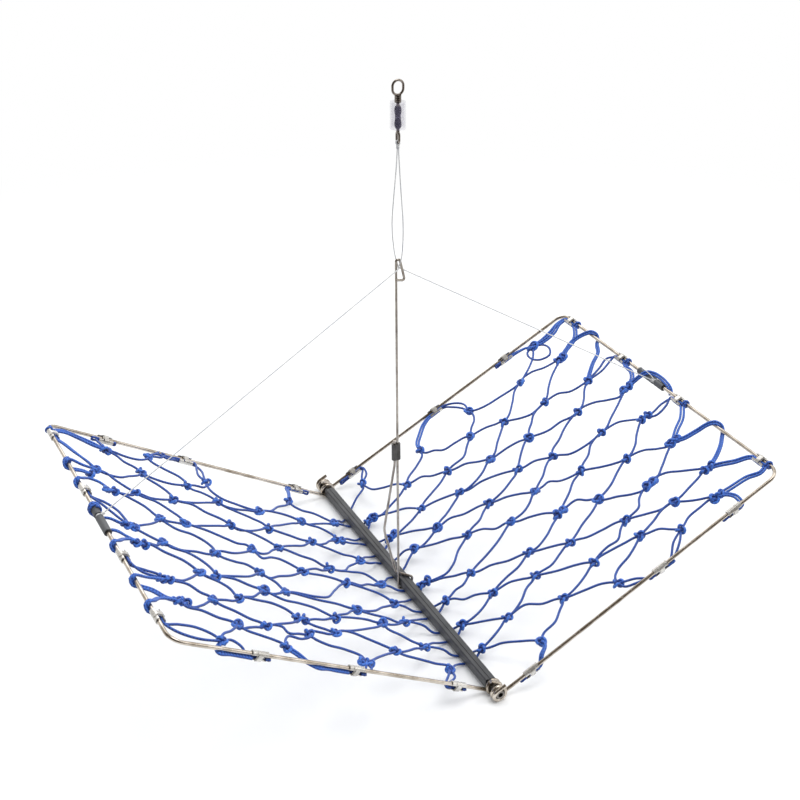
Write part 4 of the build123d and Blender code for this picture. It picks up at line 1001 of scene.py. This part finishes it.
# Ties from a knot to a clip. A row has the knot, the wire, the clip's place, the side from which the twine
# enters it, "pair" for strands side by side, "split" for two apart or "single" for one, and the bends.
TIES = {
    "right": """
A0 far 26 1 split 31,133
C0 far 111 -1 pair 80,121 88,131 97,139
D0 far 111 1 split 130,127 125,136
G0 far 185 1 pair 203,138 197,140
B7 near 27 1 pair 45,-137 39,-142
D8 near 140 -1 split 114,-137 121,-141
E7 near 140 1 split 162,-136
G7 near 206 1 pair 212,-132 214,-138
G0 outer 130 1 pair 216,133 228,135 238,138
G0 outer 130 1 pair 217,131 229,132 239,137
G1 outer 130 -1 pair 222,103 236,109 242,117
G2 outer 53 1 split 229,58.5 240,62
G3 outer 53 -1 pair 235,24 242,33 243,42
G4 outer -25 1 split 225,-20.5 237,-19
G5 outer -25 -1 pair 227,-49 236,-43 242,-36
G6 outer -125 1 pair 224,-103 233,-110
G7 outer -125 -1 pair 216,-128 230,-130 240,-134""",
    "left": """
b0 far 31 1 pair 47,116 44,124
d0 far 132 -1 split 127,116 125,126
e0 far 132 1 single 163,135 156,138 150,134
e0 far 132 1 single 161,132 156,133 151,138
f0 far 200 1 single 207,129
a7 near 27 1 split 25,-127
c7 near 112 -1 split 99,-136
f8 near 185 1 single 201,-132 196,-138
f0 outer 127 1 pair 212,127 223,134 236,139
f0 outer 127 1 pair 214,124 225,131 237,136
g0 outer 127 -1 pair 229,90 237,105 242,115
g2 outer 42 -1 single 227,10 229,20 236,29
g2 outer 42 -1 single 231,8 235,16 240,26
g4 outer -47 -1 split 228,-64 236,-62
f8 outer -118 -1 single 214,-128 222,-124 234,-124
f8 outer -118 -1 single 213,-136 228,-137 239,-133""",
}
# Loops over an outer bar: knot, bends, where the loop crosses the bar, where it comes back under it, the knot
# that it goes on to, if any, and the bends on the way.
BAR_LOOPS = {
    "right": [
        ("G1", [(220, 101), (232, 107)], 103, 90, "G2", [(238, 77), (229, 71), (221, 64)]),
        ("G5", [(224, -61), (235, -63.5)], -67, -80, "G6", [(236, -90), (226, -96)]),
    ],
    "left": [
        ("g1", [(231, 60), (237, 62)], 57, 50, None, [(244.4, 46)]),
        ("g0", [(236, 83)], 85, 79, "gk", [(238, 76)]),
        ("g3", [(231, -21), (238, -23)], -30, -37, None, [(244.4, -42)]),
        ("g4", [(231, -70), (239, -71)], -73, -79, "g5", [(239, -84), (230, -91)]),
        ("g5", [(230, -94), (238, -96)], -103, -110, None, [(244.4, -114)]),
    ],
}
BAR_LOOP_R = WIRE_TO_TWINE + 0.3
LOOP_RISE = 0.8  # of a loop over the net on its way out
LOOP_DIP = -0.6  # and on its way back
BAR_SECTION = ((-0.8, 0.8), (0.35, 1.0), (1.0, 0.0), (0.35, -1.0), (-0.8, -0.9))  # outward, up
# Doubled twine at the sleeves, by knot, places and heights: over the right one, under the left one from g2 to
# the turns round its far end, and under its near end from g3.
SLEEVE_PAIRS = [
    ("right", "G3", [(237, 22), (243, 20), (247.5, 17), (250.5, 12), (251.5, 5), (251, -3), (249.5, -10),
                     (247, -13)], [0.8, 2.8, 4.4, 3.6, 2.8, 2.6, 0.6, -2.4]),
    ("left", "g2", [(232, 2), (239, 7), (245, 12), (250, 16)], [None, -0.6, -3.9, -2.4]),
    ("left", "g3", [(233, -17), (241, -10), (245, -7)], [None, -0.5, -3.6]),
]
# The slack loop beside the right net's far corner, and a strand at a clip of the left net's far arm.
SLACK_LOOP = [(201, 132), (199, 124), (204, 114), (211, 112), (216, 119), (215, 128)]
CLIP_STRAND = [(158, 139), (154, 142.5), (150, 140)]
CLIP_STRAND_RISE = [0.4, 0.5, 0.4]
# Twine wound round the outer bars: from, to, turns, start angle and how far it lies off the wire.
WRAPS = {
    "right": [(122.5, 119, 1.2, 0, 0), (46, 43, 1.2, 0.4, 0), (-32, -35, 1.2, 0.4, 0),
              (-132, -135, 1.2, 0, 0)],
    "left": [(87, 84, 1.2, 0.7, 0), (134, 137, 1.2, 0.5, 0), (21, 16.8, 1.8, 0, 0),
             (17.6, 12.4, 2.3, 0, 1.5)],
}
WRAP_POINTS = 10  # to a turn
# Ends of twine that come out of a clip and go in again: from, reach, and angle round the wire.
STUBS = {
    ("right", "near"): [(22, -5, -1.6), (145, 6, -1.9), (135, -5, -1.6), (201, -5.5, -1.6)],
    ("right", "far"): [(21, -9, -0.7), (180, -6, -0.6)],
    ("left", "near"): [(22, -3, -1.6), (32, 3, -1.7), (107, -4, -1.7), (180, -3.5, -1.7)],
    ("left", "far"): [(26, -7, -0.6), (127, -3, -0.6), (137, 5, -0.6), (195, -3.5, -0.8), (205, 6, -0.6)],
}
STUB_OUT = 0.6  # how far a stub lies off the wire on its way out
STUB_BACK = 0.2  # and on its way back
STUB_TURN = 0.75  # angle round the wire from the one to the other
STUB_SHARE = 0.92  # share of its reach at which it turns back
# Doubled twine that goes under the left net's near arm and along its outside to a clip: knot, places, and
# where it runs along the arm.
UNDER_ARM = [("f8", [(212, -139)], 213, 190), ("d8", [(152, -134), (146, -138)], 141, 117)]
ARM_DIP = -0.8  # height of its places
ARM_PASS = -2.6  # height of the last of them, under the arm
ARM_LAY = (-1.8, 0.25, 0.4)  # its angle round the arm, how far it lies off it, and its wobble
LAID_STEP = 7
WOBBLE_PACE = 0.35


def leaf_route(net, knot, places, heights):
    """Points from a knot through places, at the net's own height where none is given."""
    route = net.at(knot)
    for (s, y), h in zip(places, heights):
        route.append(net.point(s, y) if h is None else leaf(net.side, s, y, h))
    return route


def wire_place(side, arm, t):
    """Centre of the frame wire and the direction in from it, in leaf coordinates."""
    if arm == "outer":
        return (LEAF_REACH, t), (-1, 0)
    sign = 1 if arm == "far" else -1
    return (t, sign * arm_y(side, t)), (0, -sign)


def by_wire(side, arm, t, angle, radius):
    """Point in metres at an angle round the frame wire, where 0 is inward and a quarter turn is up."""
    (s, y), (ds, dy) = wire_place(side, arm, t)
    out = radius * math.cos(angle)
    return leaf(side, s + ds * out, y + dy * out, radius * math.sin(angle))


def wound_twine(side, start, end, turns, phase, lift):
    """Points of a twine wound round an outer bar."""
    count = max(3, int(abs(turns) * WRAP_POINTS) + 1)
    shares = [i / (count - 1) for i in range(count)]
    return [by_wire(side, "outer", start + (end - start) * share, phase + 2 * math.pi * turns * share,
                    WIRE_TO_TWINE + lift) for share in shares]


def laid_twine(side, arm, start, end, angle, lift, wobble=0.0):
    """Points of a twine that lies along the frame wire, on the side that the angle gives."""
    count = max(3, int(abs(end - start) / LAID_STEP) + 1)
    places = [start + (end - start) * i / (count - 1) for i in range(count)]
    return [by_wire(side, arm, t, angle + wobble * math.sin(t * WOBBLE_PACE), WIRE_TO_TWINE + lift)
            for t in places]


def clip_run(side, arm, clip, enter):
    """Twine through a clip: from its end on the given side past its middle, in leaf coordinates."""
    inward, rise = TAKE_UP * math.cos(CLIP_TURN[arm]), TAKE_UP * math.sin(CLIP_TURN[arm])
    run = []
    for step in (CLIP_LENGTH / 2 + 1, CLIP_LENGTH / 4, -CLIP_LENGTH / 4):
        (s, y), (ds, dy) = wire_place(side, arm, clip + enter * step)
        run.append((s + ds * inward, y + dy * inward, rise))
    return run


def tie(net, row):
    """Twine from a knot through a clip, by a row of TIES."""
    knot, arm, clip, enter, kind, *words = row.split()
    bends = places_in(words)
    run = clip_run(net.side, arm, float(clip), float(enter))
    in_clip = [leaf(net.side, *place) for place in run]
    route = net.at(knot) + net.points(bends, TIE_RISE) + in_clip
    if kind == "pair":
        net.add_pair(route, RNG.uniform(*PAIR_LEAN), RNG.uniform(*PAIR_SLACK))
    elif kind == "single":
        add_twine(net.tubes, route)
    else:
        (s0, y0), (s1, y1, _) = bends[0], run[0]
        across = np.array((y1 - y0, s0 - s1)) / math.hypot(s1 - s0, y1 - y0)
        for sign in (-1, 1):
            apart = net.points(np.array(bends) + sign * SPLIT_STEP * across)
            lifted = [p + sign * SPLIT_IN_CLIP * MM * net.normal for p in in_clip]
            add_twine(net.tubes, net.at(knot) + apart + lifted)


def bar_loop(net, knot, bends, over, under, last, back):
    """Doubled twine over an outer bar, round its outside and back under it."""
    step = (under - over) / (len(BAR_SECTION) - 1)
    route = net.at(knot) + net.points(bends, LOOP_RISE)
    for i, (out, up) in enumerate(BAR_SECTION):
        route.append(leaf(net.side, LEAF_REACH + out * BAR_LOOP_R, over + i * step, up * BAR_LOOP_R))
    route += net.points(back, LOOP_DIP)
    net.add_pair(route + (net.at(last) if last else []), lean=0.1)


for side, net in NET.items():
    for row in rows(TIES[side]):
        tie(net, row)
    for row in BAR_LOOPS[side]:
        bar_loop(net, *row)
for side, *row in SLEEVE_PAIRS:
    NET[side].add_pair(leaf_route(NET[side], *row), lean=0.2)
slack_loop = NET["right"].at("G0") + NET["right"].points(SLACK_LOOP)
add_twine(NET["right"].tubes, slack_loop + slack_loop[:1])
add_twine(NET["left"].tubes, leaf_route(NET["left"], "e0", CLIP_STRAND, CLIP_STRAND_RISE))
for side, wraps in WRAPS.items():
    for wrap in wraps:
        add_twine(NET[side].tubes, wound_twine(side, *wrap), WRAP_SHADE)
for (side, arm), stubs in STUBS.items():
    for start, reach, angle in stubs:
        out = laid_twine(side, arm, start, start + reach, angle, STUB_OUT)
        back = laid_twine(side, arm, start + STUB_SHARE * reach, start, angle + STUB_TURN, STUB_BACK)
        add_twine(NET[side].tubes, out + back)
for knot, places, start, end in UNDER_ARM:
    heights = [ARM_DIP] * (len(places) - 1) + [ARM_PASS]
    outside = laid_twine("left", "near", start, end, *ARM_LAY)
    NET["left"].add_pair(leaf_route(NET["left"], knot, places, heights) + outside, lean=0.5)

for side, net in NET.items():
    piece = net.tubes.object(f"{side}_net_twine", TWINE)
    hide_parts(f"{side}_net")
    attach(piece, f"{side}_leaf")

# ---- strands under the tube, in two halves that meet below it ----------------
UNDER_Z = 1.06
UNDER_EDGE = 2.6  # from the hinge to a strand's first bend
UNDER_DRIFT = 0.4  # how far the strand has gone to its own side by then, as a share
UNDER_START = (4.5, -1.9)  # where it leaves the tube: s, and height over the frame's plane


def read_half(text):
    """Knot, place along the hinge and bends of a strand that goes under the tube."""
    knot, y, *bends = text.split()
    return knot, float(y), places_in(bends)


def under_route(net, row):
    halves = dict(zip(("right", "left"), map(read_half, row.split("|"))))
    knot, own_y, bends = halves[net.side]
    middle = (halves["right"][1] + halves["left"][1]) / 2
    edge_y = middle * (1 - UNDER_DRIFT) + own_y * UNDER_DRIFT
    below = [(0, middle, UNDER_Z), (SIDE[net.side] * UNDER_EDGE, edge_y, UNDER_Z)]
    out = leaf(net.side, UNDER_START[0], own_y, UNDER_START[1])
    return [np.array(p) * MM for p in below] + [out] + net.points(bends) + net.at(knot)


for side, net in NET.items():
    strip, g = Tubes(), SIDE[side]
    for row in rows(UNDER_TUBE):
        add_twine(strip, under_route(net, row))
    piece = strip.object(f"{side}_net_strip", TWINE)
    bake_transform(piece)

# ---- painted shade in the sleeves' open ends ---
# near-black rings at the sleeves' ends, as painted shade inside their bores
SLEEVE_ENDS = {"left": ((-16.8, -1), (15.8, 1)), "right": ((-3.8, -1), (28.8, 1))}
BORE_R = 2.1
BORE_FACES = 24
BORE_STEPS = (-0.4, -0.1, 0.1)  # along the bar from the sleeve's end, outward
for side, ends in SLEEVE_ENDS.items():
    tubes = Tubes()
    for y, direction in ends:
        rim = [leaf(side, LEAF_REACH, y + direction * step) for step in BORE_STEPS]
        tubes.add(np.array(rim), BORE_R * MM, BORE_FACES)
    piece = tubes.object(f"{side}_painted_bore_shades", PAINTED_BORE_SHADE)
    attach(piece, f"{side}_leaf")

# ---- clips ----------------
CLIP_FOLD = 2.35  # outside of a clip to the wire's middle
CLIP_SHEET = 0.6
CLIP_REACH = 2.3  # middle of the fold round the twine
CLIP_BEND = 320  # degrees from one edge of a clip round to the other
CLIP_POINTS = 26
CLIP_WING = 3.4  # length of a clip's ends, which are bent further than its middle
WING_EDGE = 68  # degrees round the wire at which the bent edge stops
MIDDLE_EDGE = 36
FINGER_R = CLIP_FOLD + 0.08
# Finger and its wider tip: radius outside and inside, degrees from and to, points, and half the width.
FINGER = [
    (FINGER_R + CLIP_SHEET, FINGER_R, 28, 128, 12, 1.7),
    (FINGER_R + 0.3, FINGER_R - 0.3, 120, 176, 8, 2.6),
]


def clip_section(radius, start, stop, count):
    """Points round a clip's section, as (inward, up), between two angles."""
    points = []
    for i in range(count):
        angle = math.radians(start + (stop - start) * i / (count - 1))
        shift = CLIP_REACH if math.cos(angle) > 1e-6 else 0.0
        points.append((shift + radius * math.cos(angle), radius * math.sin(angle)))
    return points


class Sheets:
    """Bent sheets of an even thickness gathered into one mesh."""

    def __init__(self):
        self.verts, self.faces = [], []

    def add(self, outer, inner, low, high, place):
        """Sheet between two rows of section points, from low to high along the wire."""
        base, count = len(self.verts), len(outer)
        for row, end in ((outer, low), (inner, low), (outer, high), (inner, high)):
            self.verts.extend(place(u, h, end) for u, h in row)
        for i in range(count - 1):
            a, b, c, d = (base + k * count + i for k in range(4))
            self.faces += [(a, a + 1, c + 1, c), (b, d, d + 1, b + 1)]
            self.faces += [(a, b, b + 1, a + 1), (c, c + 1, d + 1, d)]
        for i, flip in ((0, False), (count - 1, True)):
            a, b, c, d = (base + k * count + i for k in range(4))
            self.faces.append((a, b, d, c) if flip else (a, c, d, b))

    def object(self, name, material):
        return add_object(name, new_mesh(name, self.verts, self.faces, material))


def add_clip(sheets, side, arm, middle):
    """Sheet folded round the wire and the twine, with a finger from one edge bent over the other."""
    cos, sin, flip = math.cos(CLIP_TURN[arm]), math.sin(CLIP_TURN[arm]), CLIP_FLIP[arm]

    def place(u, h, along):
        h = flip * h
        (s, y), (ds, dy) = wire_place(side, arm, middle + flip * along)
        inward = u * cos - h * sin
        return tuple(leaf(side, s + ds * inward, y + dy * inward, u * sin + h * cos))

    end, wing = CLIP_LENGTH / 2, CLIP_LENGTH / 2 - CLIP_WING
    for low, high, edge in ((-end, -wing, WING_EDGE), (-wing, wing, MIDDLE_EDGE), (wing, end, WING_EDGE)):
        outer = clip_section(CLIP_FOLD, edge - CLIP_BEND, edge, CLIP_POINTS)
        inner = clip_section(CLIP_FOLD - CLIP_SHEET, edge - CLIP_BEND, edge, CLIP_POINTS)
        sheets.add(outer, inner, low, high, place)
    for outside, inside, start, stop, count, half in FINGER:
        outer = clip_section(outside, start, stop, count)
        inner = clip_section(inside, start, stop, count)
        sheets.add(outer, inner, -half, half, place)


for side in SIDES:
    sheets = Sheets()
    for arm, places in CLIPS[side].items():
        for middle in places:
            add_clip(sheets, side, arm, middle)
    piece = sheets.object(f"{side}_clips", CLIP)
    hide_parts(f"{side}_net_clips")
    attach(piece, f"{side}_leaf")
